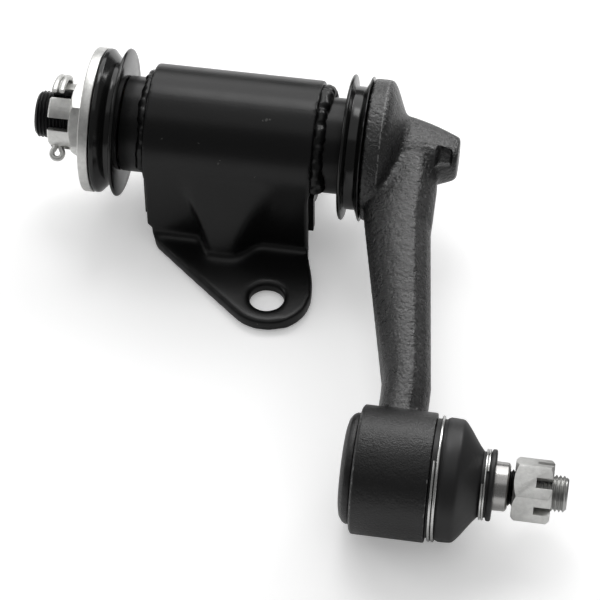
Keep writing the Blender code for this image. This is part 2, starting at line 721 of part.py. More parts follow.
def build_idler_arm():
    chamfer = 0.0016
    shoulder = WASHER_END + GAP
    fillet_steps = 6
    fillet = []
    for step in range(fillet_steps + 1):
        share = step / fillet_steps
        radius = COLLAR_RADIUS - (COLLAR_RADIUS - ELBOW_RADIUS) * blend(0.0, 1.0, share)
        fillet.append((COLLAR_END + COLLAR_FILLET * share, radius))
    shaft = [
        (SHAFT_TIP, 0.0),
        (SHAFT_TIP, PIVOT_THREAD_RADIUS - chamfer),
        (SHAFT_TIP + chamfer, PIVOT_THREAD_RADIUS),
        (shoulder, PIVOT_THREAD_RADIUS),
        (shoulder, SHAFT_RADIUS),
        (COLLAR_START, SHAFT_RADIUS),
        (COLLAR_START, COLLAR_RADIUS - 0.0008),
        (COLLAR_START + 0.0008, COLLAR_RADIUS),
        *fillet,
        (COLLAR_END + COLLAR_FILLET, 0.0),
    ]
    forging = place_on(turned("idler_arm", FORGED_BLACK, shaft), PIVOT_AXIS)
    edge = 0.0010
    housing = turned(
        "housing_blank",
        None,
        [
            (HOUSING_START, 0.0),
            (HOUSING_START, HOUSING_RADIUS - edge),
            (HOUSING_START + edge, HOUSING_RADIUS),
            (HOUSING_END - edge, HOUSING_RADIUS),
            (HOUSING_END, HOUSING_RADIUS - edge),
            (HOUSING_END, LAND_RADIUS),
            (LAND_END, LAND_RADIUS),
            (LAND_END, 0.0),
        ],
        cutter=True,
    )
    housing.location = (0.0, BALL_Y, BALL_Z)
    cap_bore = CAP_RADIUS - CAP_RIM + GAP
    seat_face = HOUSING_START + CAP_SEAT_DEPTH
    cavity = turned(
        "housing_cavity",
        None,
        [
            (HOUSING_START - 0.002, 0.0),
            (HOUSING_START - 0.002, cap_bore),
            (seat_face, cap_bore),
            (seat_face, CAVITY_RADIUS),
            (CAVITY_END, CAVITY_RADIUS),
            (CAVITY_END, MOUTH_RADIUS - 0.0032),
            (LAND_END, MOUTH_RADIUS),
            (LAND_END + 0.002, MOUTH_RADIUS),
            (LAND_END + 0.002, 0.0),
        ],
        cutter=True,
    )
    cavity.location = (0.0, BALL_Y, BALL_Z)
    combine(forging, build_elbow_blank(), "UNION")
    combine(forging, build_arm_blank(), "UNION")
    combine(forging, housing, "UNION")
    combine(forging, cavity, "DIFFERENCE")
    combine(forging, build_lug_recess(), "DIFFERENCE")
    hole = Vector((0.0, math.cos(COTTER_TURN), math.sin(COTTER_TURN)))
    middle = Vector((COTTER_X, 0.0, PIVOT_HEIGHT))
    reach = 2 * PIVOT_THREAD_RADIUS
    cotter_hole = drill("cotter_hole", 2.6 * COTTER_WIRE_RADIUS, middle - hole * reach, middle + hole * reach)
    combine(forging, cotter_hole, "DIFFERENCE")
    return forging


# Nut end: thick washer, turret nut and cotter pin.
def build_pivot_washer():
    edge = 0.0005
    bore = PIVOT_THREAD_RADIUS + GAP
    outline = [
        (WASHER_START, bore),
        (WASHER_START, WASHER_RADIUS - edge),
        (WASHER_START + edge, WASHER_RADIUS),
        (WASHER_END - edge, WASHER_RADIUS),
        (WASHER_END, WASHER_RADIUS - edge),
        (WASHER_END, bore),
    ]
    return place_on(turned("pivot_washer", ZINC, outline), PIVOT_AXIS)


def chamfer_lens(name, start, end, flats, corner_cut):
    """Solid of revolution that a hexagon is cut back to, which rounds its corners at both ends."""
    corner = flats / math.sqrt(3)
    flat = flats / 2 - 0.0001
    outline = [
        (start, 0.0),
        (start, flat),
        (start + corner_cut, corner + 0.0002),
        (end - corner_cut, corner + 0.0002),
        (end, flat),
        (end, 0.0),
    ]
    return turned(name, None, outline, cutter=True)


def slot_cutters(prefix, width, start, end, reach, turn):
    middle = (start + end) / 2
    size = (end - start, 2 * reach, width)
    return [
        block(f"{prefix}_{i + 1}", size, (middle, 0.0, 0.0), turn + i * math.pi / 3) for i in range(3)
    ]


def build_castle_nut():
    corner = PIVOT_NUT_FLATS / math.sqrt(3)
    nut = prism(
        "pivot_castle_nut", 6, corner, HEX_START - 0.001, HEX_END + 0.001, NUT_TURN, cutter=False
    )
    place_on(nut, PIVOT_AXIS)
    lens = chamfer_lens("castle_nut_chamfer", HEX_START, HEX_END, PIVOT_NUT_FLATS, 0.0016)
    edge = 0.0008
    crown = turned(
        "castle_nut_crown",
        None,
        [
            (CROWN_START, 0.0),
            (CROWN_START, CROWN_RADIUS - edge),
            (CROWN_START + edge, CROWN_RADIUS),
            (HEX_START + 0.0010, CROWN_RADIUS),
            (HEX_START + 0.0010, 0.0),
        ],
        steps=SMALL_FACETS,
        cutter=True,
    )
    bore = turned(
        "castle_nut_bore",
        None,
        [
            (CROWN_START - 0.002, 0.0),
            (CROWN_START - 0.002, PIVOT_THREAD_RADIUS + GAP),
            (HEX_END + 0.002, PIVOT_THREAD_RADIUS + GAP),
            (HEX_END + 0.002, 0.0),
        ],
        steps=SMALL_FACETS,
        cutter=True,
    )
    for other, operation in ((lens, "INTERSECT"), (crown, "UNION"), (bore, "DIFFERENCE")):
        other.location = (0.0, 0.0, PIVOT_HEIGHT)
        combine(nut, other, operation)
    slots = slot_cutters(
        "castle_slot", CROWN_SLOT, CROWN_START - 0.002, HEX_START - 0.0004, 1.5 * CROWN_RADIUS, COTTER_TURN
    )
    for slot in slots:
        slot.location = (0.0, 0.0, PIVOT_HEIGHT)
        combine(nut, slot, "DIFFERENCE")
    return nut


def cotter_path():
    """Centre line of the split pin: one leg's tip, through the shaft, round the eye and back."""
    apart = 1.15 * COTTER_WIRE_RADIUS
    splay = 2.3 * COTTER_WIRE_RADIUS
    lie = CROWN_RADIUS + COTTER_WIRE_RADIUS + 2 * GAP
    bend = 0.0026
    turn_in = lie - bend

    def spot(radius, tangent, x):
        c, s = math.cos(COTTER_TURN), math.sin(COTTER_TURN)
        return (COTTER_X + x, radius * c - tangent * s, radius * s + tangent * c)

    def leg(side):
        points = []
        for step in range(6):
            wrap = math.radians(66.0) * (1.0 - step / 6)
            spread = apart + (splay - apart) * (1.0 - step / 6)
            tangent = bend + lie * math.sin(wrap)
            points.append(spot(lie * math.cos(wrap), tangent, side * spread))
        for step in range(4):
            angle = math.pi / 2 * (1.0 - step / 4)
            points.append(
                spot(turn_in + bend * math.sin(angle), bend * (1.0 - math.cos(angle)), side * apart)
            )
        points.append(spot(turn_in, 0.0, side * apart))
        points.append(spot(-CROWN_RADIUS, 0.0, side * apart))
        return points

    eye = COTTER_EYE_RADIUS
    entry = math.asin(min(1.0, apart / eye))
    centre = -(CROWN_RADIUS + 0.0006 + eye * math.cos(entry))
    loop = []
    steps = 11
    for step in range(1, steps):
        angle = entry + (2 * math.pi - 2 * entry) * step / steps
        loop.append(spot(centre + eye * math.cos(angle), 0.0, eye * math.sin(angle)))
    return leg(1) + loop + list(reversed(leg(-1)))


def build_cotter_pin():
    return place_on(wire("cotter_pin", ZINC, cotter_path(), COTTER_WIRE_RADIUS), PIVOT_AXIS)


# Ball joint: cap, spring, bearing seat, ball stud, boot with its two wire rings, and slotted nut.
def build_housing_cap():
    plug = CAP_RADIUS - CAP_RIM
    face = HOUSING_START - GAP
    front = face - CAP_DOME
    outline = [
        (front - 0.0004, 0.0),
        (front, 0.77 * CAP_RADIUS),
        (front + 0.0006, CAP_RADIUS - 0.0025),
        (front + 0.0018, CAP_RADIUS - 0.0007),
        (front + 0.0032, CAP_RADIUS),
        (face, CAP_RADIUS),
        (face, plug),
        (HOUSING_START + CAP_SEAT_DEPTH - 2 * GAP, plug),
        (HOUSING_START + CAP_SEAT_DEPTH - 2 * GAP, plug - 0.0030),
        (HOUSING_START, plug - 0.0042),
        (HOUSING_START, 0.0),
    ]
    return place_on(turned("housing_end_cap", FORGED_BLACK, outline), BALL_CENTRE)


def build_seat_spring():
    """Conical spring washer that presses the seat onto the ball."""
    end = BALL_CENTRE_X - SEAT_BACK - GAP
    thick = 0.0009
    inner, outer = 0.55 * CAVITY_RADIUS, CAVITY_RADIUS - 0.0024
    outline = [
        (HOUSING_START + GAP, inner),
        (HOUSING_START + GAP + thick, inner - 0.0006),
        (end, outer - 0.0010),
        (end, outer),
        (end - thick, outer),
    ]
    return place_on(turned("seat_spring", BRIGHT_STEEL, outline, SMALL_FACETS), BALL_CENTRE)


def build_ball_seat():
    inner = BALL_RADIUS + GAP
    outer = CAVITY_RADIUS - GAP
    low, high = -SEAT_BACK, SEAT_FRONT - 0.0008
    start_angle = math.acos(low / inner)
    end_angle = math.acos(high / inner)
    steps = 8
    outline = []
    for i in range(steps + 1):
        angle = start_angle + (end_angle - start_angle) * i / steps
        outline.append((BALL_CENTRE_X + inner * math.cos(angle), inner * math.sin(angle)))
    front = BALL_CENTRE_X + SEAT_FRONT
    outline += [(front, outer - 0.0035), (front, outer)]
    outline += [(BALL_CENTRE_X + low, outer)]
    return place_on(turned("ball_seat", BEARING_PLASTIC, outline, SMALL_FACETS), BALL_CENTRE)


def build_ball_stud():
    start_angle = math.radians(148.0)
    end_angle = math.asin(STUD_NECK_RADIUS / BALL_RADIUS)
    steps = 9
    outline = [(BALL_CENTRE_X + BALL_RADIUS * math.cos(start_angle), 0.0)]
    for i in range(steps + 1):
        angle = start_angle + (end_angle - start_angle) * i / steps
        outline.append((BALL_CENTRE_X + BALL_RADIUS * math.cos(angle), BALL_RADIUS * math.sin(angle)))
    tip = 0.0012
    outline += [
        (BALL_CENTRE_X + STUD_NECK_END, STUD_NECK_RADIUS),
        (BALL_CENTRE_X + STUD_TAPER_START, STUD_SEAT_RADIUS),
        (BALL_CENTRE_X + STUD_TAPER_END - 0.0008, STUD_SEAT_RADIUS - 0.0001),
        (BALL_CENTRE_X + STUD_TAPER_END, STUD_SEAT_RADIUS - 0.0011),
        (BALL_CENTRE_X + STUD_TAPER_END, STUD_THREAD_RADIUS),
        (STUD_TIP - tip, STUD_THREAD_RADIUS),
        (STUD_TIP, STUD_THREAD_RADIUS - tip),
        (STUD_TIP, 0.0),
    ]
    return place_on(turned("ball_stud", BRIGHT_STEEL, outline, SMALL_FACETS), BALL_CENTRE)


def build_dust_boot():
    """Moulded bellows: a bead on the housing's land, a shoulder, a cone and a lipped neck."""
    bead = LAND_RADIUS + GAP
    start = HOUSING_END + GAP
    shoulder, neck = BOOT_SHOULDER_RADIUS, BOOT_NECK_RADIUS
    cone, drop = BOOT_CONE_LENGTH, shoulder - neck
    neck_end = BOOT_NECK_START + BOOT_NECK_WIDTH
    outer = [
        (start, bead + BOOT_BEAD_WALL),
        (BOOT_BEAD_END - 0.0006, bead + BOOT_BEAD_WALL),
        (BOOT_BEAD_END, shoulder),
        (BOOT_SHOULDER_END - 0.0010, shoulder),
        (BOOT_SHOULDER_END + 0.08 * cone, shoulder - 0.09 * drop),
        (BOOT_SHOULDER_END + 0.22 * cone, shoulder - 0.22 * drop),
        (BOOT_SHOULDER_END + 0.60 * cone, shoulder - 0.67 * drop),
        (BOOT_SHOULDER_END + 0.84 * cone, shoulder - 0.89 * drop),
        (BOOT_NECK_START, neck),
        (neck_end, neck),
        (neck_end + 0.0006, neck + BOOT_LIP),
        (BOOT_END - 0.0005, neck + BOOT_LIP),
        (BOOT_END, neck + BOOT_LIP - 0.0005),
    ]
    thin = BOOT_WALL
    inner = [
        (BOOT_END, BOOT_BORE),
        (BOOT_NECK_START - thin, BOOT_BORE),
        (BOOT_SHOULDER_END + 0.60 * cone - 0.6 * thin, shoulder - 0.67 * drop - 0.8 * thin),
        (BOOT_SHOULDER_END + 0.15 * cone - 0.6 * thin, shoulder - 0.22 * drop - 0.8 * thin),
        (BOOT_SHOULDER_END - thin, shoulder - thin),
        (BOOT_BEAD_END, shoulder - thin),
        (BOOT_BEAD_END, bead),
        (start, bead),
    ]
    return place_on(turned("dust_boot", BOOT_RUBBER, outer + inner), BALL_CENTRE)


def ring_points(centre_x, radius, turns, first, rise, per_turn=22):
    count = int(per_turn * turns)
    points = []
    for i in range(count + 1):
        share = i / count
        angle = first + 2 * math.pi * turns * share
        points.append(
            (centre_x + rise * (share - 0.5), radius * math.cos(angle), radius * math.sin(angle))
        )
    return points


def build_boot_ring_large():
    """One and a half turns of spring wire round the boot's bead."""
    radius = LAND_RADIUS + GAP + BOOT_BEAD_WALL + GAP + RING_WIRE_RADIUS
    turns = 1.55
    pitch = 2 * RING_WIRE_RADIUS + GAP
    half_width = turns * pitch / 2 + RING_WIRE_RADIUS
    middle = BOOT_BEAD_END - GAP - half_width
    first = math.radians(112.0)
    points = ring_points(middle, radius, turns, first, turns * pitch)
    return place_on(wire("boot_ring_large", ZINC, points, RING_WIRE_RADIUS), BALL_CENTRE)


def build_boot_ring_small():
    """Nearly two turns of thin spring wire round the boot's neck."""
    radius = BOOT_NECK_RADIUS + GAP + SMALL_RING_WIRE_RADIUS
    turns = 1.94
    pitch = 2 * SMALL_RING_WIRE_RADIUS + GAP / 3
    first = math.radians(127.0)
    points = ring_points(SMALL_RING_X, radius, turns, first, turns * pitch)
    return place_on(wire("boot_ring_small", ZINC, points, SMALL_RING_WIRE_RADIUS), BALL_CENTRE)


def build_stud_nut():
    start = STUD_NUT_START
    end = start + STUD_NUT_HEIGHT
    corner = STUD_NUT_FLATS / math.sqrt(3)
    nut = prism("stud_nut", 6, corner, start - 0.001, end + 0.001, STUD_NUT_TURN, cutter=False)
    place_on(nut, BALL_CENTRE)
    lens = chamfer_lens("stud_nut_chamfer", start, end, STUD_NUT_FLATS, 0.0015)
    bore = turned(
        "stud_nut_bore",
        None,
        [
            (start - 0.002, 0.0),
            (start - 0.002, STUD_THREAD_RADIUS + GAP),
            (end + 0.002, STUD_THREAD_RADIUS + GAP),
            (end + 0.002, 0.0),
        ],
        steps=SMALL_FACETS,
        cutter=True,
    )
    for other, operation in ((lens, "INTERSECT"), (bore, "DIFFERENCE")):
        other.location = (0.0, BALL_Y, BALL_Z)
        combine(nut, other, operation)
    slot_start = end - STUD_NUT_SLOT_DEPTH
    slots = slot_cutters(
        "stud_nut_slot", STUD_NUT_SLOT, slot_start, end + 0.002, corner * 1.2, STUD_NUT_TURN + math.pi / 6
    )
    for slot in slots:
        slot.location = (0.0, BALL_Y, BALL_Z)
        combine(nut, slot, "DIFFERENCE")
    return nut


build_bracket()
build_pivot_tube()
build_tube_cradle()
build_weld_bead("weld_bead_nut_end", -1, NUT_END_WELD)
build_weld_bead("weld_bead_arm_end", 1, ARM_END_WELD)
build_bush("bushing_nut_end", -1)
build_bush("bushing_arm_end", 1)
build_dust_seal(
    "dust_seal_nut_end", SEAL_NUT_START, 1, SEAL_NUT_LENGTH, SEAL_NUT_LAND,
    SEAL_RADIUS, SEAL_GROOVE_RADIUS, SEAL_GROOVE_WIDTH,
)
build_dust_seal(
    "dust_seal_arm_end", COLLAR_START - GAP, -1, SEAL_ARM_LENGTH, SEAL_ARM_LAND,
    ARM_SEAL_RADIUS, ARM_SEAL_GROOVE_RADIUS, ARM_SEAL_GROOVE_WIDTH,
)
build_idler_arm()
build_pivot_washer()
build_castle_nut()
build_cotter_pin()
build_housing_cap()
build_seat_spring()
build_ball_seat()
build_ball_stud()
build_dust_boot()
build_boot_ring_large()
build_boot_ring_small()
build_stud_nut()
for piece in parts.objects:
    if piece.modifiers and piece.modifiers[0].type == "SCREW":
        piece.modifiers.new("flat_ends_stay_flat", "WEIGHTED_NORMAL")
for laid_out in list(parts.objects) + list(cutters.objects):
    if laid_out.parent is None:
        laid_out.location -= Vector((CENTRE_X, CENTRE_Y, 0.0))
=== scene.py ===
import json
import math

import bpy
from mathutils import Matrix, Vector, noise


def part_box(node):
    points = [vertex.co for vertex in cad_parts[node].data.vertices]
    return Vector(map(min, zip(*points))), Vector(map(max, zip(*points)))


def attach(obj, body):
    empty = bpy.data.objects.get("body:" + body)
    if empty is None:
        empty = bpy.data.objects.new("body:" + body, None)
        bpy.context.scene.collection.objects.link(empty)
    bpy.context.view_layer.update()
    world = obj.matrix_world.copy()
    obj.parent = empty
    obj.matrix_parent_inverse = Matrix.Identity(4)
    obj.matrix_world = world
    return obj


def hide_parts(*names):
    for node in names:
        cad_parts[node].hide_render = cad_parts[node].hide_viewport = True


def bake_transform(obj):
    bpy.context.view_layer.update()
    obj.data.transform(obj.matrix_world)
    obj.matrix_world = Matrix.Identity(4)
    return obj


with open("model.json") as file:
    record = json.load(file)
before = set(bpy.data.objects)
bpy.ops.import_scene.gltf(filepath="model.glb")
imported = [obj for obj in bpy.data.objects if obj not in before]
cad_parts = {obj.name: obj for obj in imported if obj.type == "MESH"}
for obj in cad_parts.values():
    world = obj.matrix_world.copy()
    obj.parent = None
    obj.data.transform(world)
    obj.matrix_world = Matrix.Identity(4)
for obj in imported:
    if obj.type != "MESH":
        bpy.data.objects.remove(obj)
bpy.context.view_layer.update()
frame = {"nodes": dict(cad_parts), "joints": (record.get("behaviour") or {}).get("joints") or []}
bpy.context.scene.view_settings.view_transform = "Standard"

# The place: a pale seamless floor under soft studio light, seen from in front and above, as in the
# photo. A wide lamp stands high behind the part, a small one over its back draws the crisp lights,
# and weaker ones stand overhead and at the sides.
MM = 0.001
low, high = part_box("pivot_tube")
PIVOT = (low + high) / 2
BALL = Vector(next(j["pos_m"] for j in frame["joints"] if j["name"] == "stud_tilt"))
VIEW_AZIMUTH = math.radians(8.86)
VIEW_ELEVATION = math.radians(48.48)
VIEW_DISTANCE = 1.060
VIEW_TARGET = PIVOT + Vector((31.7, -27.7, -68.8)) * MM


class Socket:
    """One shader socket. Arithmetic on it adds Math nodes, and node() adds any other kind."""

    def __init__(self, tree, socket=None):
        self.tree = tree
        self.socket = socket

    def node(self, kind, settings=(), sockets=(), output=0):
        made = self.tree.nodes.new("ShaderNode" + kind)
        for name, value in dict(settings).items():
            setattr(made, name, value)
        for name, value in dict(sockets).items():
            self.feed(made.inputs[name], value)
        return Socket(self.tree, made.outputs[output])

    def feed(self, target, value):
        if isinstance(value, Socket):
            self.tree.links.new(value.socket, target)
        else:
            target.default_value = value

    def math(self, operation, *values):
        return self.node("Math", {"operation": operation}, dict(enumerate(values)))

    def __add__(self, other):
        return self.math("ADD", self, other)

    def __radd__(self, other):
        return self.math("ADD", other, self)

    def __sub__(self, other):
        return self.math("SUBTRACT", self, other)

    def __rsub__(self, other):
        return self.math("SUBTRACT", other, self)

    def __mul__(self, other):
        return self.math("MULTIPLY", self, other)

    def __rmul__(self, other):
        return self.math("MULTIPLY", other, self)

    def __pow__(self, other):
        return self.math("POWER", self, other)

    def output(self, name):
        return Socket(self.tree, self.socket.node.outputs[name])

    def above(self, limit):
        return self.math("GREATER_THAN", self, limit)

    def below(self, limit):
        return self.math("LESS_THAN", self, limit)

    def eased(self, first, last, low=0.0, high=1.0):
        """Goes softly from low to high as this value goes from first to last."""
        limits = {"Value": self, "From Min": first, "From Max": last, "To Min": low, "To Max": high}
        return self.node("MapRange", {"interpolation_type": "SMOOTHSTEP"}, limits)

    def grey(self):
        return self.node("CombineColor", {}, {0: self, 1: self, 2: self})


def lamp(name, place, aim, size, watts):
    light = bpy.data.lights.new(name, "AREA")
    light.shape = "RECTANGLE"
    light.size, light.size_y = size
    light.energy = watts
    holder = bpy.data.objects.new(name, light)
    holder.location = place
    holder.rotation_euler = (Vector(aim) - Vector(place)).to_track_quat("-Z", "Y").to_euler()
    bpy.context.scene.collection.objects.link(holder)


camera = bpy.data.cameras.new("view_camera")
camera.lens = 146.4
camera.sensor_width = 36.0
camera.clip_end = 20.0
camera_holder = bpy.data.objects.new("view_camera", camera)
bpy.context.scene.collection.objects.link(camera_holder)
camera_holder.rotation_euler = (math.pi / 2 - VIEW_ELEVATION, 0.0, VIEW_AZIMUTH)
backwards = camera_holder.rotation_euler.to_matrix() @ Vector((0.0, 0.0, 1.0))
camera_holder.location = VIEW_TARGET + backwards * VIEW_DISTANCE
bpy.context.scene.camera = camera_holder

lamp("softbox_back", (-0.10, 1.30, 1.15), (0.0, 0.0, 0.0), (2.20, 1.30), 16.0)
lamp("softbox_right_back", (0.70, 0.92, 0.75), (0.05, -0.05, 0.03), (0.50, 0.40), 3.4)
lamp("softbox_overhead", (0.0, 0.0, 1.40), (0.0, 0.0, 0.0), (1.50, 1.50), 3.2)
lamp("softbox_left", (-1.10, 0.20, 0.60), (0.0, 0.0, 0.03), (0.35, 0.60), 1.3)
lamp("softbox_high_back", (-0.10, 0.57, 1.18), (0.03, -0.02, 0.03), (0.40, 0.35), 1.7)

bpy.ops.object.select_all(action="DESELECT")
bpy.ops.mesh.primitive_plane_add(size=8.0, location=(0.0, 0.0, -0.0002))
floor = bpy.context.object
floor.name = "studio_floor"
floor_paint = bpy.data.materials.new("studio_floor")
floor_paint.use_nodes = True
floor_shader = floor_paint.node_tree.nodes["Principled BSDF"]
floor_shader.inputs["Roughness"].default_value = 0.9
floor_shader.inputs["Specular IOR Level"].default_value = 0.1
paper = Socket(floor_paint.node_tree)
paper_spot = paper.node("TexCoord", output=3)
paper_axes = paper_spot.node("SeparateXYZ", {}, {0: paper_spot})
behind = paper_axes.output("Y") - 0.5 * paper_axes.output("X")
PAPER_WHITE = 0.95
PAPER_GLOW = 0.26
PAINTED_SHADE_BESIDE_ARM = 0.55
GLOSS_SHARE = 0.7
# Painted shade in reflections: for bounced and reflected rays the floor is darker in front of the part,
# and darker still beside the arm, so the black paint and metal reflect a dark floor there. Glossy rays
# see it partly lifted towards white, except beside the arm, and the camera sees it evenly white.
paper_tone = behind.eased(0.02, 0.14, 0.42, 0.85)
paper_rays = paper.node("LightPath")
in_view = paper_rays.output("Is Camera Ray")
in_gloss = paper_rays.output("Is Glossy Ray")
beside_arm = paper_axes.output("X").eased(0.085, 0.13) * paper_axes.output("Y").eased(-0.12, -0.03)
paper_tone = paper_tone * (1.0 - PAINTED_SHADE_BESIDE_ARM * beside_arm)
shown = in_view + GLOSS_SHARE * in_gloss * (1.0 - beside_arm)
paper_tone = paper_tone + shown * (PAPER_WHITE - paper_tone)
paper.feed(floor_shader.inputs["Base Color"], paper_tone.grey())
paper.feed(floor_shader.inputs["Emission Color"], (in_view * PAPER_GLOW).grey())
floor_shader.inputs["Emission Strength"].default_value = 1.0
floor.data.materials.append(floor_paint)

world = bpy.data.worlds.new("studio")
bpy.context.scene.world = world
world.use_nodes = True
sky = Socket(world.node_tree)
background = world.node_tree.nodes["Background"]
sky.feed(background.inputs["Color"], (1.0, 1.0, 1.0, 1.0))
rays = sky.node("LightPath")
seen, diffuse, glossy = (rays.output(f"Is {kind} Ray") for kind in ("Camera", "Diffuse", "Glossy"))
sky.feed(background.inputs["Strength"], 0.12 + 0.88 * seen + 0.25 * diffuse + 0.04 * glossy)

# The bracket's plate: one 6 mm steel sheet pressed over the tube, with a gusset pushed into the front
# wall and a flange at each end. Its edges are punched and slightly rounded, and it is painted gloss
# black, with fine peel and a few grains of dust in the coat.
plate_low, plate_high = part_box("mounting_bracket")
saddle_low, saddle_high = plate_low - PIVOT, plate_high - PIVOT
PLATE = 6.0 * MM
HALF = -saddle_low.x
TOP_RADIUS = saddle_high.z
FLOOR = -PIVOT.z
WALL_EDGE = HALF - 1.0 * MM
BEND = 3.2 * MM
FRONT_SLANT = math.radians(49.5)
GUSSET_REACH = 9.2 * MM
GUSSET_HALF_WIDTH = 4.2 * MM
GUSSET_WIDENING = 8.5 * MM
LEFT_FLANK, RIGHT_FLANK = 7.0 * MM, 12.0 * MM
GUSSET_TOP = FLOOR + 44.0 * MM
GUSSET_CENTRE = -1.0 * MM
NOSE_RADIUS = 18.2 * MM
NOSE_X = HALF - 13.7 * MM
NOSE_Y = saddle_low.y + NOSE_RADIUS
REAR_RADIUS = 14.0 * MM
REAR_Y = saddle_high.y - REAR_RADIUS
REAR_X = HALF - 15.5 * MM
HOLE_RADIUS = 7.25 * MM
FRONT_HOLE_Y = NOSE_Y - 3.3 * MM
FLANGE_TOP = FLOOR + PLATE
BEND_TOP = FLANGE_TOP + BEND


def ease(first, last, value):
    share = min(1.0, max(0.0, (value - first) / (last - first)))
    return share * share * (3.0 - 2.0 * share)


def gusset(x, z):
    """Forward push of the sheet: a flat nose with sloping flanks, fading out up the wall."""
    flat = GUSSET_HALF_WIDTH + GUSSET_WIDENING * ease(FLANGE_TOP, GUSSET_TOP, z)
    flank = LEFT_FLANK if x < GUSSET_CENTRE else RIGHT_FLANK
    across = 1.0 - ease(flat, flat + flank, abs(x - GUSSET_CENTRE))
    lean = min(1.0, max(0.0, (GUSSET_TOP - z) / (GUSSET_TOP - BEND_TOP)))
    return GUSSET_REACH * across * lean


def front_limits(y):
    """The front flange's left and right edge: a slant from the wall, and a round nose."""
    tangent_x = NOSE_X - NOSE_RADIUS * math.cos(FRONT_SLANT)
    tangent_y = NOSE_Y - NOSE_RADIUS * math.sin(FRONT_SLANT)
    half = math.sqrt(max(0.0, NOSE_RADIUS**2 - (y - NOSE_Y) ** 2))
    left = NOSE_X - half
    if y > tangent_y:
        straight = tangent_x - (y - tangent_y) * math.tan(FRONT_SLANT)
        left = 0.5 * (straight - WALL_EDGE + math.hypot(straight + WALL_EDGE, 4.0 * MM))
    right = NOSE_X + half
    if y > NOSE_Y:
        share = min(1.0, max(0.0, (-TOP_RADIUS - y) / (-TOP_RADIUS - NOSE_Y)))
        right = WALL_EDGE + (NOSE_X + NOSE_RADIUS - WALL_EDGE) * math.sin(math.pi / 2 * share)
    return left, right


def rear_limits(y):
    """The rear flange's left and right edge, with its two round corners."""
    half = REAR_X + math.sqrt(max(0.0, REAR_RADIUS**2 - max(0.0, y - REAR_Y) ** 2))
    half = min(WALL_EDGE, half)
    return -half, half


def sheet_rows():
    """Rows (left, right, y, z, push) of the sheet's outer face along its section path."""
    rows = []
    for step in range(15):
        y = REAR_Y + REAR_RADIUS * math.sin(math.pi / 2 * (1 - step / 15)) - 0.00002
        rows.append((*rear_limits(y), y, FLANGE_TOP, 0.0))
    for step in range(4):
        y = REAR_Y + (TOP_RADIUS + BEND - REAR_Y) * step / 4
        rows.append((-WALL_EDGE, WALL_EDGE, y, FLANGE_TOP, 0.0))
    for step in range(9):
        turn = math.pi / 2 * step / 8
        y = TOP_RADIUS + BEND * (1 - math.sin(turn))
        rows.append((-WALL_EDGE, WALL_EDGE, y, FLANGE_TOP + BEND * (1 - math.cos(turn)), 0.0))
    for step in range(1, 7):
        z = BEND_TOP + (-BEND_TOP) * step / 7
        spread = WALL_EDGE + (HALF - WALL_EDGE) * ease(0.55, 1.0, step / 7)
        rows.append((-spread, spread, TOP_RADIUS, z, 0.0))
    for step in range(49):
        turn = math.pi * step / 48
        rows.append((-HALF, HALF, TOP_RADIUS * math.cos(turn), TOP_RADIUS * math.sin(turn), 0.0))
    for step in range(1, 21):
        z = BEND_TOP * step / 21
        spread = WALL_EDGE + (HALF - WALL_EDGE) * (1 - ease(0.0, 0.35, step / 21))
        rows.append((-spread, spread, -TOP_RADIUS, z, 1.0))
    for step in range(9):
        turn = math.pi / 2 * step / 8
        y = -TOP_RADIUS - BEND * (1 - math.cos(turn))
        rows.append((*front_limits(y), y, BEND_TOP - BEND * math.sin(turn), 1.0))
    flange_start = -TOP_RADIUS - BEND
    for step in range(1, 15):
        share = step / 14
        y = flange_start + (NOSE_Y - flange_start) * share
        rows.append((*front_limits(y), y, FLANGE_TOP, (1 - share) ** 2))
    for step in range(1, 17):
        y = NOSE_Y - NOSE_RADIUS * math.sin(math.pi / 2 * step / 16) + 0.00002
        rows.append((*front_limits(y), y, FLANGE_TOP, 0.0))
    return rows


def start_piece(name):
    """Names the object that an operator just added, and clears its place into its mesh."""
    piece = bpy.context.object
    piece.name = name
    piece.data.name = name
    bpy.ops.object.transform_apply(location=True, rotation=True, scale=True)
    return piece


def only(piece):
    bpy.ops.object.select_all(action="DESELECT")
    piece.select_set(True)
    bpy.context.view_layer.objects.active = piece


def apply_all(piece):
    only(piece)
    for step in [m.name for m in piece.modifiers]:
        bpy.ops.object.modifier_apply(modifier=step)


def one_skin(piece, voxel, relaxing):
    """Melts a piece into one even skin, and relaxes it so that its edges and corners are rounded."""
    melt = piece.modifiers.new("one_skin", "REMESH")
    melt.mode = "VOXEL"
    melt.voxel_size = voxel
    melt.use_smooth_shade = True
    relax = piece.modifiers.new("rounded_edges", "SMOOTH")
    relax.factor = 0.5
    relax.iterations = relaxing
    apply_all(piece)


def relax_where(piece, rounds, share):
    """Relaxes a piece further where share, from a point off the pivot's centre, says how much."""
    where = piece.vertex_groups.new(name="relaxed")
    for vertex in piece.data.vertices:
        amount = share(vertex.co - PIVOT)
        if amount > 0.0:
            where.add([vertex.index], amount, "REPLACE")
    relax = piece.modifiers.new("relaxed", "SMOOTH")
    relax.factor = 0.5
    relax.iterations = rounds
    relax.vertex_group = "relaxed"
    apply_all(piece)
    piece.vertex_groups.clear()


def soften(piece, width, segments=3, angle=35.0):
    """Rounds a piece's hard edges and shades it smooth."""
    bevel = piece.modifiers.new("edges", "BEVEL")
    bevel.width = width
    bevel.segments = segments
    bevel.limit_method = "ANGLE"
    bevel.angle_limit = math.radians(angle)
    bevel.use_clamp_overlap = True
    apply_all(piece)
    bpy.ops.object.shade_smooth_by_angle(angle=math.radians(40.0))


def outwards(piece, close_ends=False):
    """Merges a piece's doubles, closes its open ends if asked, and turns its faces outwards."""
    only(piece)
    bpy.ops.object.mode_set(mode="EDIT")
    bpy.ops.mesh.select_all(action="SELECT")
    bpy.ops.mesh.remove_doubles(threshold=0.000002)
    if close_ends:
        bpy.ops.mesh.fill_holes(sides=0)
    bpy.ops.mesh.normals_make_consistent(inside=False)
    bpy.ops.object.mode_set(mode="OBJECT")


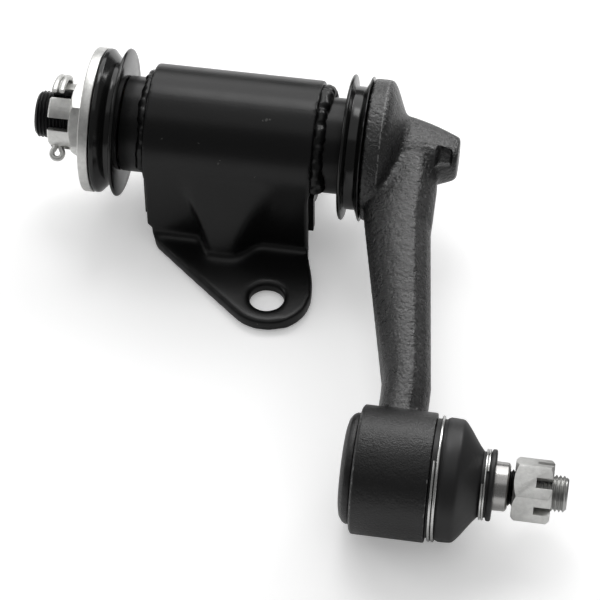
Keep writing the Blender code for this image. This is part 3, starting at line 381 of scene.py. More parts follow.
def sheet_grid(name, rows, columns, place):
    """A grid whose vertex at each row and column goes where place says."""
    bpy.ops.object.select_all(action="DESELECT")
    bpy.ops.mesh.primitive_grid_add(x_subdivisions=columns, y_subdivisions=rows - 1, size=1.0)
    piece = start_piece(name)
    for index, vertex in enumerate(piece.data.vertices):
        vertex.co = place(index // (columns + 1), index % (columns + 1))
    return piece


def cut(piece, tool, operation="DIFFERENCE"):
    step = piece.modifiers.new("cut", "BOOLEAN")
    step.operation = operation
    step.solver = "EXACT"
    step.object = tool
    apply_all(piece)
    bpy.data.objects.remove(tool, do_unlink=True)


def drill(radius, low_end, high_end):
    """A round tool between two points, to cut with."""
    bpy.ops.object.select_all(action="DESELECT")
    turn = (high_end - low_end).to_track_quat("Z", "Y").to_euler()
    bpy.ops.mesh.primitive_cylinder_add(
        vertices=64,
        radius=radius,
        depth=(high_end - low_end).length,
        location=(low_end + high_end) / 2,
        rotation=turn,
    )
    return start_piece("tool")


plate_rows = sheet_rows()
COLUMNS = 72


def sheet_point(row, column):
    left, right, y, z, push = plate_rows[row]
    x = left + (right - left) * column / COLUMNS
    return PIVOT + Vector((x, y - push * gusset(x, max(z, BEND_TOP)), z))


bracket = sheet_grid("bracket_plate", len(plate_rows), COLUMNS, sheet_point)
outwards(bracket)
if max(bracket.data.polygons, key=lambda face: face.center.z).normal.z < 0:
    bracket.data.flip_normals()
wall = bracket.modifiers.new("wall", "SOLIDIFY")
wall.thickness = PLATE
wall.offset = -1.0
wall.use_even_offset = True
wall.use_quality_normals = True
apply_all(bracket)
for hole_x, hole_y in ((NOSE_X, FRONT_HOLE_Y), (-REAR_X, REAR_Y), (REAR_X, REAR_Y)):
    spot = PIVOT + Vector((hole_x, hole_y, FLOOR))
    up = Vector((0.0, 0.0, PLATE))
    cut(bracket, drill(HOLE_RADIUS, spot - up, spot + 2 * up))
one_skin(bracket, 0.75 * MM, 6)


def flange_rim(spot):
    on_flange = spot.z < FLANGE_TOP + 0.5 * MM and spot.y < -TOP_RADIUS - 5 * MM
    return 1.0 if on_flange else 0.0


def front_wall(spot):
    inside_edges = 1.0 - ease(HALF - 7 * MM, HALF - 4 * MM, abs(spot.x))
    return ease(20 * MM, 23 * MM, -spot.y) * inside_edges


relax_where(bracket, 14, flange_rim)
relax_where(bracket, 30, front_wall)


def new_finish(name, colour, roughness, metallic=0.0):
    """A Principled material, with its first socket and its shader's inputs."""
    material = bpy.data.materials.new(name)
    material.use_nodes = True
    shader = material.node_tree.nodes["Principled BSDF"]
    shader.inputs["Base Color"].default_value = (*colour, 1.0)
    shader.inputs["Roughness"].default_value = roughness
    shader.inputs["Metallic"].default_value = metallic
    return material, Socket(material.node_tree), shader.inputs


def bump(start, height, strength, distance):
    return start.node("Bump", {}, {"Height": height, "Strength": strength, "Distance": distance})


def noise_field(start, where, scale, detail=3.0, roughness=0.55):
    return start.node(
        "TexNoise", {}, {"Vector": where, "Scale": scale, "Detail": detail, "Roughness": roughness}
    )


def two_tone(start, share, dark, light):
    """A colour that goes from dark to light as share goes from 0 to 1."""
    tones = {0: share, 6: (*dark, 1.0), 7: (*light, 1.0)}
    return start.node("Mix", {"data_type": "RGBA"}, tones, output=2)


PAINT_BLACK = (0.0040, 0.0040, 0.0042)
PAINT_DUST = (0.06, 0.06, 0.058)
FRAY = 1.3 * MM


def gloss_paint(name, specks=()):
    """Sprayed black: a fine peel, slow waves, dust in the coat, and specks (x, y, z, size in mm)."""
    material, start, shader = new_finish(name, PAINT_BLACK, 0.30)
    shader["Specular IOR Level"].default_value = 0.36
    where = start.node("TexCoord", output=3)
    peel = noise_field(start, where, 900.0, 3.0)
    waves = noise_field(start, where, 70.0, 3.0)
    dust_cells = start.node("TexVoronoi", {}, {"Vector": where, "Scale": 210.0})
    dust_pick = dust_cells.node("SeparateColor", {}, {"Color": dust_cells.output("Color")})
    dust = dust_cells.below(0.07) * dust_pick.above(0.95)
    fray = {0: noise_field(start, where, 1100.0), "Scale": FRAY}
    ragged = start.node("VectorMath", {"operation": "SCALE"}, fray)
    frayed = start.node("VectorMath", {"operation": "ADD"}, {0: where, 1: ragged})
    for x, y, z, size in specks:
        spot = PIVOT + Vector((x, y, z)) * MM + Vector((FRAY, FRAY, FRAY)) / 2
        away = start.node("VectorMath", {"operation": "DISTANCE"}, {0: frayed, 1: spot}, output=1)
        dust = dust.math("MAXIMUM", dust, away.below(size * MM))
    start.feed(shader["Roughness"], 0.24 + 0.14 * waves + 0.25 * dust)
    start.feed(shader["Base Color"], two_tone(start, dust, PAINT_BLACK, PAINT_DUST))
    height = peel * 0.30 + waves + dust * 0.7
    start.feed(shader["Normal"], bump(start, height, 0.14, 0.0006))
    return material


def dress(piece, material, slot, body, *nodes):
    """Gives a piece its material, seats it on its body and hides the nodes that it stands for. Its slot
    is not used.
    """
    piece.data.materials.clear()
    piece.data.materials.append(material)
    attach(piece, body)
    if nodes:
        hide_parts(*nodes)


DUST_SPOTS = [
    (-33.0, 17.0, 20.8, 0.30),
    (-27.0, 4.5, 26.4, 0.35),
    (-27.0, -22.0, 14.9, 0.30),
    (-11.5, -22.0, 14.9, 0.40),
    (-3.0, -25.5, 7.5, 0.45),
    (-2.2, -25.0, 9.0, 0.35),
    (12.5, -26.4, 3.0, 0.35),
    (14.0, -13.2, 23.1, 0.40),
    (15.4, -12.8, 23.3, 0.55),
    (16.8, -12.5, 23.5, 0.40),
]
bracket_paint = gloss_paint("bracket_gloss_black", DUST_SPOTS)
dress(bracket, bracket_paint, "black_paint", "bracket", "mounting_bracket")

# The pivot tube and the two plain bushes pressed into it. The tube is a cut length of drawn steel
# tube, faced at both ends and painted with the bracket after welding.


def lathe(name, profile, steps=96, centre=PIVOT, solid=False):
    """Grows a turned piece from a circle: every profile point extrudes and resizes the last ring."""
    bpy.ops.object.select_all(action="DESELECT")
    first_x, first_radius = profile[0]
    bpy.ops.mesh.primitive_circle_add(
        vertices=steps,
        radius=first_radius,
        location=centre + Vector((first_x, 0.0, 0.0)),
        rotation=(0.0, math.pi / 2, 0.0),
        fill_type="NGON" if solid else "NOTHING",
    )
    piece = start_piece(name)
    bpy.ops.object.mode_set(mode="EDIT")
    bpy.ops.mesh.select_all(action="SELECT")
    stops = profile[1:] if solid else profile[1:] + profile[:1]
    at_x, at_radius = first_x, first_radius
    for x, radius in stops:
        move = {"value": (x - at_x, 0.0, 0.0)}
        if solid:
            bpy.ops.mesh.extrude_region_move(TRANSFORM_OT_translate=move)
        else:
            bpy.ops.mesh.extrude_edges_move(TRANSFORM_OT_translate=move)
        bpy.ops.transform.resize(
            value=(1.0, radius / at_radius, radius / at_radius),
            center_override=centre + Vector((x, 0.0, 0.0)),
        )
        at_x, at_radius = x, radius
    bpy.ops.object.mode_set(mode="OBJECT")
    outwards(piece)
    return piece


def span(node, centre=PIVOT):
    """A turned node's two ends along the axis and its outer radius."""
    node_low, node_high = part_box(node)
    return node_low.x - centre.x, node_high.x - centre.x, (node_high.z - node_low.z) / 2


tube_start, tube_end, tube_radius = span("pivot_tube")
TUBE_WALL = 3.7 * MM
TUBE_BORE = tube_radius - TUBE_WALL
tube = lathe(
    "tube",
    [(tube_start, TUBE_BORE), (tube_start, tube_radius), (tube_end, tube_radius), (tube_end, TUBE_BORE)],
)
soften(tube, 0.5 * MM)
dress(tube, gloss_paint("tube_gloss_black"), "black_paint", "bracket", "pivot_tube")


def plain_finish(name, colour, roughness, metallic, grain, spread=0.12, strength=0.08):
    """One even finish whose roughness wanders by spread, with a fine grain of the given strength."""
    material, start, shader = new_finish(name, colour, roughness, metallic)
    where = start.node("TexCoord", output=3)
    spots = noise_field(start, where, grain)
    start.feed(shader["Roughness"], (roughness - 0.5 * spread) + spread * spots)
    start.feed(shader["Normal"], bump(start, spots, strength, 0.0003))
    return material


def dress_node(name, material):
    """Gives a CAD node that keeps its own shape a better material."""
    node = frame["nodes"][name]
    node.data.materials.clear()
    node.data.materials.append(material)


bush_bronze = plain_finish("bush_bronze", (0.42, 0.27, 0.12), 0.42, 1.0, 900.0)
dress_node("bushing_nut_end", bush_bronze)
dress_node("bushing_arm_end", bush_bronze)

# The cradle: a bent 4 mm plate welded under the tube, which closes the bracket's section. Its legs
# stand against the insides of the two walls, and it wears the bracket's paint.
plain_paint = gloss_paint("plain_gloss_black")
dress_node("tube_cradle", plain_paint)

# The welds: one fillet bead at each end of the saddle, laid round the tube by hand, so it is rippled
# and lumpy. It is painted over with the bracket.


def weld_bead(name, node, side, leg, seed):
    """A lumpy fillet bead over the top of the tube, side saying which end of the saddle."""
    start, end = math.radians(-28.0), math.radians(208.0)
    sections, around, ripples = 260, 12, 24
    foot = side * (HALF + 0.1 * MM)
    root = tube_radius - 0.1 * MM

    def place(row, column):
        share = row / (sections - 1)
        turn = start + (end - start) * share
        swirl = math.pi / 2 * (column % around) / (around - 1)
        taper = min(1.0, 0.3 + 9.0 * share, 0.3 + 9.0 * (1 - share))
        ripple = 1.0 + 0.03 * math.sin(2 * math.pi * ripples * share + 1.4 * math.sin(swirl * 2))
        swell = noise.noise(Vector((share * 6.0, column * 0.05, seed)))
        lump = noise.noise(Vector((share * 24.0, column * 0.14, seed + 5.0)))
        size = leg * taper * (ripple + 0.30 * swell + 0.20 * lump)
        along = size * math.cos(swirl)
        out = size * math.sin(swirl)
        bulge = 1.0 + 0.16 * math.sin(2 * swirl)
        if column == around:
            along, out, bulge = 0.0, 0.0, 1.0
        radius = root + out * bulge
        return PIVOT + Vector(
            (foot + side * along * bulge, radius * math.cos(turn), radius * math.sin(turn))
        )

    bead = sheet_grid(name, sections, around + 1, lambda row, column: place(row, column % (around + 1)))
    outwards(bead, close_ends=True)
    bpy.ops.object.shade_smooth_by_angle(angle=math.radians(60.0))
    dress(bead, weld_paint, "black_paint", "bracket", node)


weld_paint = gloss_paint("weld_gloss_black")
weld_bead("nut_end_weld", "weld_bead_nut_end", -1, 3.1 * MM, 3.0)
weld_bead("arm_end_weld", "weld_bead_arm_end", 1, 4.2 * MM, 11.0)

# The dust seals: moulded rubber spools on the shaft. Each has a wedge-shaped rim away from the tube,
# a groove, and a thin flat disc that wipes the tube's end.


def rubber(name, colour, roughness, grain, strength):
    """Moulded rubber: a fine grain from the mould, and a slow dull bloom."""
    material, start, shader = new_finish(name, colour, roughness)
    where = start.node("TexCoord", output=3)
    moulded = noise_field(start, where, grain, 3.0)
    bloom = noise_field(start, where, 60.0, 4.0)
    start.feed(shader["Roughness"], (roughness - 0.08) + 0.18 * bloom)
    start.feed(shader["Normal"], bump(start, moulded, strength, 0.0003))
    return material


seal_rubber = rubber("seal_rubber", (0.005, 0.005, 0.005), 0.15, 700.0, 0.04)
SEAL_BORE = 12.3 * MM
SEAL_RIM = 30.65 * MM
DISC_THICKNESS = 2.3 * MM


def dust_seal(name, node, way, land, groove_radius, groove_width):
    """A spool from its wedge to its disc, way being 1 or -1 as the disc is right or left of the wedge."""
    near, far, radius = span(node)
    wedge, disc = (near, far) if way > 0 else (far, near)
    rim = min(radius, SEAL_RIM)
    groove_foot = disc - way * DISC_THICKNESS
    groove_top = groove_foot - way * groove_width
    seal = lathe(
        name,
        [
            (wedge, SEAL_BORE),
            (wedge, rim - 0.6 * MM),
            (wedge + way * 0.25 * land, rim),
            (wedge + way * land, rim - 0.15 * MM),
            (groove_top - way * 0.3 * MM, groove_radius + 0.25 * MM),
            (groove_top + way * 0.2 * MM, groove_radius),
            (groove_foot - way * 0.2 * MM, groove_radius),
            (groove_foot, groove_radius + 0.4 * MM),
            (disc - way * 1.7 * MM, radius - 0.6 * MM),
            (disc - way * 1.2 * MM, radius),
            (disc - way * 0.4 * MM, radius - 0.3 * MM),
            (disc, radius - 1.2 * MM),
            (disc, SEAL_BORE),
        ],
        steps=144,
    )
    soften(seal, 0.25 * MM, segments=2, angle=25.0)
    dress(seal, seal_rubber, "seal_rubber", "bracket", node)


dust_seal("nut_end_seal", "dust_seal_nut_end", 1, 2.0 * MM, 26.5 * MM, 2.2 * MM)
dust_seal("arm_end_seal", "dust_seal_arm_end", -1, 0.6 * MM, 26.0 * MM, 4.0 * MM)

# The arm: one steel forging with the shaft, a collar, an elbow that ends in a stop lug, a drafted
# arm and the housing for the ball. The shaft end is turned and threaded, and the forged skin keeps
# its grain under satin black paint.
COLLAR_START = 56.3 * MM
COLLAR_END = COLLAR_START + 7.1 * MM
COLLAR_RADIUS = 29.9 * MM
LUG_END = COLLAR_END + 31.1 * MM
SHAFT_RADIUS = 12.0 * MM
POCKET_SPREAD = 0.35
REACH = PIVOT.y - BALL.y
DROP = PIVOT.z - BALL.z
cap_low, cap_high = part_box("housing_end_cap")
boot_low, boot_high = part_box("dust_boot")
HOUSING_RADIUS = BALL.z
HOUSING_START = COLLAR_END + 9.7 * MM
HOUSING_END = boot_low.x - PIVOT.x - 0.3 * MM
STRAIGHT = 37.8 * MM
TIP_INSET = 4.6 * MM
RIDGE_INSET = 6.9 * MM
LEFT_DRAFT, RIGHT_DRAFT = 0.232, 0.126
DRAFT_LENGTH = 75 * MM
FILLET_LENGTH = 9.6 * MM
FILLET_RADIUS = 14.4 * MM
ELBOW_OVERLAP = 2 * MM
housing_centre = Vector((PIVOT.x, BALL.y, BALL.z))


def arm_ring(reach):
    """The forging's section in front of the pivot: a broad crown on the left, a ridge, a steep flank."""
    tapered = max(0.0, REACH - STRAIGHT - reach)
    left = max(HOUSING_START + TIP_INSET - LEFT_DRAFT * tapered, COLLAR_START + 2.0 * MM)
    right = HOUSING_END - TIP_INSET - RIGHT_DRAFT * min(tapered, DRAFT_LENGTH)
    right -= 3.5 * MM * (1 - ease(0.0, 18 * MM, reach))
    share = max(0.0, reach) / REACH
    tall = (12.9 - 0.6 * share) * MM
    ridge = right - RIDGE_INSET
    top = ridge - 3.2 * MM
    upper = [
        (right - 0.5 * MM, 0.22 * tall),
        (right - 2.2 * MM, 0.50 * tall),
        (ridge + 1.2 * MM, tall - 2.3 * MM),
        (ridge + 0.1 * MM, tall - 0.75 * MM),
        (ridge - 1.4 * MM, tall - 0.2 * MM),
        (top, tall),
    ]
    for k in range(1, 10):
        out = k / 10
        upper.append((top - (top - left) * out, tall * (1 - out**2.3) ** 0.62))
    lower = [(x, -z) for x, z in reversed(upper)]
    middle = -DROP * share
    section = [(right, 0.0), *upper, (left, 0.0), *lower]
    return [Vector((x, -reach, middle + z)) for x, z in section]


def skin(name, rings):
    """Skins rings of points, closed round and at both ends."""
    around = len(rings[0])
    piece = sheet_grid(name, len(rings), around, lambda row, col: PIVOT + rings[row][col % around])
    outwards(piece, close_ends=True)
    return piece


def elbow_ring(x):
    """The elbow's squared section, shrinking towards the lug's end."""
    elbow_length = LUG_END - COLLAR_END + ELBOW_OVERLAP
    share = max(0.0, (x - COLLAR_END + ELBOW_OVERLAP) / elbow_length)
    deep = (15.7 - 7.5 * share**1.8) * MM
    tall = 0.94 * deep
    squareness = 2.8
    ring = []
    for k in range(48):
        turn = 2 * math.pi * k / 48
        c, s = math.cos(turn), math.sin(turn)
        soft = (abs(c) ** squareness + abs(s) ** squareness) ** (-1 / squareness)
        ring.append(Vector((x, deep * c * soft, tall * s * soft)))
    return ring


elbow_start = COLLAR_END - ELBOW_OVERLAP
elbow_step = (LUG_END - elbow_start) / 10
arm_blank = skin("forging_arm", [arm_ring(-3 * MM + (REACH - 5 * MM) * k / 24) for k in range(25)])
elbow_blank = skin("forging_elbow", [elbow_ring(elbow_start + elbow_step * k) for k in range(11)])
fillet = []
for step in range(13):
    along = FILLET_LENGTH * step / 12
    radius = COLLAR_RADIUS + (FILLET_RADIUS - COLLAR_RADIUS) * ease(0.0, FILLET_LENGTH, along)
    fillet.append((COLLAR_END + along, radius))
collar_blank = lathe("forging_collar", [(COLLAR_START, COLLAR_RADIUS), *fillet], solid=True)
core_radius = HOUSING_RADIUS - 0.3 * MM
core_ends = (HOUSING_START + 0.8 * MM, HOUSING_END - 0.8 * MM)
housing_core = lathe(
    "forging_housing", [(x, core_radius) for x in core_ends], centre=housing_centre, solid=True
)
only(arm_blank)
for other in (elbow_blank, collar_blank, housing_core):
    other.select_set(True)
bpy.ops.object.join()
forging = bpy.context.object
forging.name = "arm_forging"
forging.data.name = "arm_forging"
one_skin(forging, 0.8 * MM, 7)


def hollow_corner(spot):
    """Where the collar, the elbow and the arm's crown run into each other in one hollow."""
    across = 1.0 - ease(72 * MM, 80 * MM, spot.x)
    forward = ease(8 * MM, 14 * MM, -spot.y) * (1.0 - ease(34 * MM, 46 * MM, -spot.y))
    return across * forward * ease(COLLAR_END - 1 * MM, COLLAR_END + 2 * MM, spot.x)


def lug_corner(spot):
    """Where the lug's underside runs into the arm's right flank."""
    across = ease(78 * MM, 84 * MM, spot.x)
    return across * ease(3 * MM, 9 * MM, -spot.y) * (1.0 - ease(24 * MM, 34 * MM, -spot.y))


relax_where(forging, 40, hollow_corner)
relax_where(forging, 40, lug_corner)

POCKET_WIDTH, POCKET_HEIGHT, POCKET_DEPTH = 7.2 * MM, 9.2 * MM, 4.4 * MM
bpy.ops.object.select_all(action="DESELECT")
bpy.ops.mesh.primitive_cube_add(size=1.0)
pocket = start_piece("tool")
bpy.ops.object.mode_set(mode="EDIT")
bpy.ops.mesh.select_all(action="SELECT")
bpy.ops.transform.resize(value=(POCKET_WIDTH, POCKET_HEIGHT, POCKET_DEPTH))
bpy.ops.mesh.bevel(offset=1.3 * MM, segments=4, affect="EDGES")
bpy.ops.object.mode_set(mode="OBJECT")
for vertex in pocket.data.vertices:
    spread = 1.0 + POCKET_SPREAD * vertex.co.z / (POCKET_DEPTH / 2)
    vertex.co = Vector((vertex.co.x * spread, vertex.co.y * spread, vertex.co.z))
lug_face = Vector((0.0, -0.66, 0.75))
lug_up = lug_face.cross(Vector((1.0, 0.0, 0.0)))
pocket_turn = Matrix((Vector((1.0, 0.0, 0.0)), lug_up, lug_face)).transposed().to_4x4()
pocket_place = PIVOT + Vector((LUG_END - 5.2 * MM, 0.0, 0.0)) + lug_face * 10.2 * MM
pocket.data.transform(Matrix.Translation(pocket_place) @ pocket_turn)
outwards(pocket)
cut(forging, pocket)
hollow_radius = HOUSING_RADIUS - 1.5 * MM
hollow_ends = (HOUSING_START - 4 * MM, HOUSING_END + 4 * MM)
hollow = lathe("tool", [(x, hollow_radius) for x in hollow_ends], centre=housing_centre, solid=True)
cut(forging, hollow)
only(forging)
bpy.ops.object.shade_smooth_by_angle(angle=math.radians(50.0))


FORGED_BLACK = (0.0050, 0.0050, 0.0053)
WORN_EDGE_AND_HIGHLIGHT = (0.12, 0.12, 0.12)


def forged_finish(name, grain_size, depth, rough, gloss, centre, worn_and_lit):
    """Satin black over forging scale: grain, pits, slow hammered waves, and light marks on given edges,
    either paint worn thin or a painted highlight.

    Each edge in worn_and_lit is a place along the axis through centre, a half width, the least radius,
    the least height and how much of it stays black.
    """
    material, start, shader = new_finish(name, FORGED_BLACK, rough)
    shader["Specular IOR Level"].default_value = gloss
    where = start.node("TexCoord", output=3)
    axes = where.node("SeparateXYZ", {}, {0: where})
    across, upward = axes.output("Y") - centre.y, axes.output("Z") - centre.z
    radius = (across * across + upward * upward) ** 0.5
    patches = noise_field(start, where, 520.0, 3.0)
    bare_and_lit = patches.above(2.0)
    for x, half_width, least_radius, least_height, left_black in worn_and_lit:
        off_line = start.math("ABSOLUTE", axes.output("X") - (centre.x + x))
        rim = off_line.below(half_width) * radius.above(least_radius) * upward.above(least_height)
        bare_and_lit = bare_and_lit.math("MAXIMUM", bare_and_lit, rim * patches.above(left_black))
    start.feed(shader["Base Color"], two_tone(start, bare_and_lit, FORGED_BLACK, WORN_EDGE_AND_HIGHLIGHT))
    grain = noise_field(start, where, 1.0 / grain_size, 3.0, 0.60)
    pits = noise_field(start, where, 0.35 / grain_size, 4.0, 0.60)
    hammer = noise_field(start, where, 110.0, 2.0)
    start.feed(shader["Roughness"], (rough - 0.10) + 0.20 * pits)
    height = grain * 1.2 + pits * 1.0 + hammer * 0.8
    start.feed(shader["Normal"], bump(start, height, depth, 0.0008))
    return material


# A painted highlight: a broken light line along the top of the collar's edge, in the worn-paint colour.
# The housing's rims further down are worn paint.
collar_highlight = (COLLAR_END - 0.3 * MM, 0.30 * MM, COLLAR_RADIUS - 2.5 * MM, 8.0 * MM, 0.46)
forged_black = forged_finish("forged_satin_black", 1.3 * MM, 0.62, 0.28, 0.95, PIVOT, [collar_highlight])
dress(forging, forged_black, "forged_black", "arm", "idler_arm")

# The ball housing's wall, turned after forging: a plain barrel with a thin lip rolled over the cap on
# the left, and a reduced land at the right that carries the boot's bead.
LAND_RADIUS = HOUSING_RADIUS - 3.8 * MM
LAND_END = HOUSING_END + 4.2 * MM
CAP_RADIUS = (cap_high.z - cap_low.z) / 2
CAVITY_RADIUS = HOUSING_RADIUS - 6.0 * MM
barrel = lathe(
    "housing_barrel",
    [
        (HOUSING_START + 1.0 * MM, CAP_RADIUS - 0.5 * MM),
        (HOUSING_START, CAP_RADIUS + 0.1 * MM),
        (HOUSING_START, HOUSING_RADIUS - 1.2 * MM),
        (HOUSING_START + 0.9 * MM, HOUSING_RADIUS),
        (HOUSING_END, HOUSING_RADIUS),
        (HOUSING_END, LAND_RADIUS),
        (LAND_END, LAND_RADIUS),
        (LAND_END, LAND_RADIUS - 4.9 * MM),
        (HOUSING_END - 3.0 * MM, CAVITY_RADIUS - 5.8 * MM),
        (HOUSING_END - 3.2 * MM, CAVITY_RADIUS),
        (HOUSING_START + 3.0 * MM, CAVITY_RADIUS),
        (HOUSING_START + 3.0 * MM, CAP_RADIUS - 0.5 * MM),
    ],
    steps=160,
    centre=housing_centre,
)
soften(barrel, 0.45 * MM, segments=3, angle=25.0)
rim_edges = [
    (HOUSING_START + 0.6 * MM, 0.30 * MM, HOUSING_RADIUS - 1.4 * MM, -1.0, 0.56),
    (HOUSING_END - 0.3 * MM, 0.25 * MM, HOUSING_RADIUS - 0.6 * MM, -1.0, 0.58),
]
housing_black = forged_finish("turned_satin_black", 0.7 * MM, 0.30, 0.31, 0.62, housing_centre, rim_edges)
dress(barrel, housing_black, "forged_black", "arm")

# The end cap, pressed steel with a shallow dome, and the spring and seat behind it, which the closed
# housing hides.
cap_start = cap_low.x - PIVOT.x
CAP_STEP = 0.8 * MM
cap = lathe(
    "end_cap",
    [
        (cap_start, 6.0 * MM),
        (cap_start + 0.10 * MM, 12.0 * MM),
        (cap_start + 0.35 * MM, 16.5 * MM),
        (cap_start + 0.95 * MM, CAP_RADIUS - 2.5 * MM),
        (cap_start + 2.2 * MM, CAP_RADIUS - 0.7 * MM),
        (cap_start + 3.6 * MM, CAP_RADIUS),
        (HOUSING_START - 0.3 * MM, CAP_RADIUS),
        (HOUSING_START - 0.3 * MM, CAP_RADIUS - CAP_STEP),
        (HOUSING_START + 1.5 * MM, CAP_RADIUS - CAP_STEP),
    ],
    steps=128,
    centre=housing_centre,
    solid=True,
)
soften(cap, 0.3 * MM, segments=2, angle=28.0)
dress(cap, housing_black, "forged_black", "arm", "housing_end_cap")
dress_node("seat_spring", plain_finish("spring_steel", (0.55, 0.55, 0.56), 0.30, 1.0, 700.0))
dress_node("ball_seat", plain_finish("seat_plastic", (0.72, 0.70, 0.62), 0.45, 0.0, 500.0))

# The threaded end of the pivot shaft and the plain shaft inside the tube, turned on the forging. The
# thread is cut M20 with a fine pitch, and both are black from a phosphate coat.


def threaded(name, start_x, end_x, radius, pitch, depth, centre, tip_first=False):
    """A threaded rod's end: rings close together, each vertex cut in along a helix."""
    rings_per_turn = 10
    crest, flanks = 0.12, 0.76
    tip_chamfer = 1.3 * MM
    rows = int((end_x - start_x) / pitch * rings_per_turn)
    ring_step = (end_x - start_x) / rows
    rod = lathe(
        name,
        [(start_x + ring_step * k, radius) for k in range(rows + 1)],
        steps=60,
        centre=centre,
        solid=True,
    )
    for vertex in rod.data.vertices:
        local = vertex.co - centre
        turn = math.atan2(local.z, local.y) / (2 * math.pi)
        phase = (local.x / pitch - turn) % 1.0
        tooth = min(1.0, max(0.0, (abs(2 * phase - 1) - crest) / flanks))
        from_tip = (local.x - start_x) if tip_first else (end_x - local.x)
        chamfer = max(0.0, tip_chamfer - from_tip)
        across = math.hypot(local.y, local.z)
        if across > 0.001 * MM:
            keep = min(radius - depth * tooth, radius - chamfer) / across
            vertex.co = centre + Vector((local.x, local.y * keep, local.z * keep))
    only(rod)
    bpy.ops.object.shade_smooth_by_angle(angle=math.radians(50.0))
    return rod


phosphated = plain_finish("phosphated_steel", (0.020, 0.020, 0.021), 0.36, 0.6, 800.0, 0.20, 0.12)
washer_start, washer_end, washer_radius = span("pivot_washer")
SHAFT_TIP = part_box("idler_arm")[0].x - PIVOT.x
THREAD_PITCH = 1.5 * MM
THREAD_DEPTH = 0.85 * MM
PIVOT_THREAD_RADIUS = 9.95 * MM
thread_end = washer_end + 0.3 * MM
shaft_thread = threaded(
    "pivot_thread", SHAFT_TIP, thread_end, PIVOT_THREAD_RADIUS, THREAD_PITCH, THREAD_DEPTH, PIVOT, True
)
dress(shaft_thread, phosphated, "forged_black", "arm")
shaft = lathe(
    "pivot_shaft",
    [(thread_end, SHAFT_RADIUS), (COLLAR_START + 0.5 * MM, SHAFT_RADIUS)],
    steps=64,
    solid=True,
)
soften(shaft, 0.4 * MM)
dress(shaft, phosphated, "forged_black", "arm")

# The washer at the nut end: thick, turned from bar and zinc plated, so fine rings show on its face
# and its rim is bright.


def zinc(name, ringed, centre):
    """Zinc plate, clouded and finely pitted, with a lathe's rings round centre where ringed."""
    material, start, shader = new_finish(name, (0.60, 0.60, 0.58), 0.34, 1.0)
    where = start.node("TexCoord", output=3)
    cloud = noise_field(start, where, 420.0, 5.0, 0.65)
    speck = noise_field(start, where, 1300.0, 3.0)
    tone = 0.56 + 0.40 * cloud
    if ringed:
        moved = start.node("VectorMath", {"operation": "SUBTRACT"}, {0: where, 1: centre})
        axes = moved.node("SeparateXYZ", {}, {0: moved})
        across, upward = axes.output("Y"), axes.output("Z")
        radius = (across * across + upward * upward) ** 0.5
        rings = noise_field(start, start.node("CombineXYZ", {}, {0: radius}), 1500.0, 2.0)
        speck = speck * 0.4 + rings
        tone = tone + 0.14 * (rings - 0.5)
    warm_grey = start.node("CombineColor", {}, {0: tone, 1: tone, 2: tone * 0.975})
    start.feed(shader["Base Color"], warm_grey)
    start.feed(shader["Roughness"], 0.28 + 0.24 * cloud)
    start.feed(shader["Normal"], bump(start, speck + cloud, 0.24, 0.0003))
    return material


WASHER_BORE = 10.0 * MM
washer_outline = [
    (washer_start, WASHER_BORE),
    (washer_start, washer_radius),
    (washer_end, washer_radius),
    (washer_end, WASHER_BORE),
]
washer = lathe("thick_washer", washer_outline, steps=160)
soften(washer, 0.5 * MM, segments=3)
dress(washer, zinc("turned_zinc", True, PIVOT), "zinc_plate", "arm", "pivot_washer")

# The castellated nut: a 30 mm hexagon with a turned crown, six slots milled across it for the cotter,
# and chamfered corners. It is zinc plated.
plain_zinc = zinc("plated_zinc", False, PIVOT)


def hex_nut(name, start_x, end_x, flats, turn, centre, corner_cut):
    """A hexagonal bar's slice, cut back at both ends to the cone that rounds its corners."""
    bpy.ops.object.select_all(action="DESELECT")
    bpy.ops.mesh.primitive_cylinder_add(
        vertices=6,
        radius=flats / math.sqrt(3),
        depth=end_x - start_x + 2 * MM,
        location=(0.0, 0.0, 0.0),
    )
    nut = start_piece(name)
    first = Matrix.Rotation(math.pi / 2, 4, "Y")
    turned = [first @ vertex.co for vertex in nut.data.vertices]
    corner = min(math.atan2(spot.z, spot.y) % (math.pi / 3) for spot in turned)
    middle = centre + Vector(((start_x + end_x) / 2, 0.0, 0.0))
    nut.data.transform(Matrix.Translation(middle) @ Matrix.Rotation(turn - corner, 4, "X") @ first)
    end_radius = flats / 2 - 0.1 * MM
    corner_radius = flats / math.sqrt(3) + 0.2 * MM
    cone_outline = [
        (start_x, end_radius),
        (start_x + corner_cut, corner_radius),
        (end_x - corner_cut, corner_radius),
        (end_x, end_radius),
    ]
    cut(nut, lathe("tool", cone_outline, steps=96, centre=centre, solid=True), "INTERSECT")
    return nut


def drill_through(nut, radius, start_x, end_x, centre):
    low_end = centre + Vector((start_x - 2 * MM, 0.0, 0.0))
    high_end = centre + Vector((end_x + 2 * MM, 0.0, 0.0))
    cut(nut, drill(radius, low_end, high_end))


def mill_slots(nut, start_x, end_x, width, reach, first_turn, centre):
    """Three cuts right across a nut, which open its six slots."""
    size = Matrix.Diagonal((end_x - start_x, 2 * reach, width, 1.0))
    middle = centre + Vector(((start_x + end_x) / 2, 0.0, 0.0))
    for slot in range(3):
        turn = first_turn + slot * math.pi / 3
        bpy.ops.object.select_all(action="DESELECT")
        bpy.ops.mesh.primitive_cube_add(size=1.0)
        tool = start_piece("tool")
        tool.data.transform(Matrix.Translation(middle) @ Matrix.Rotation(turn, 4, "X") @ size)
        cut(nut, tool)


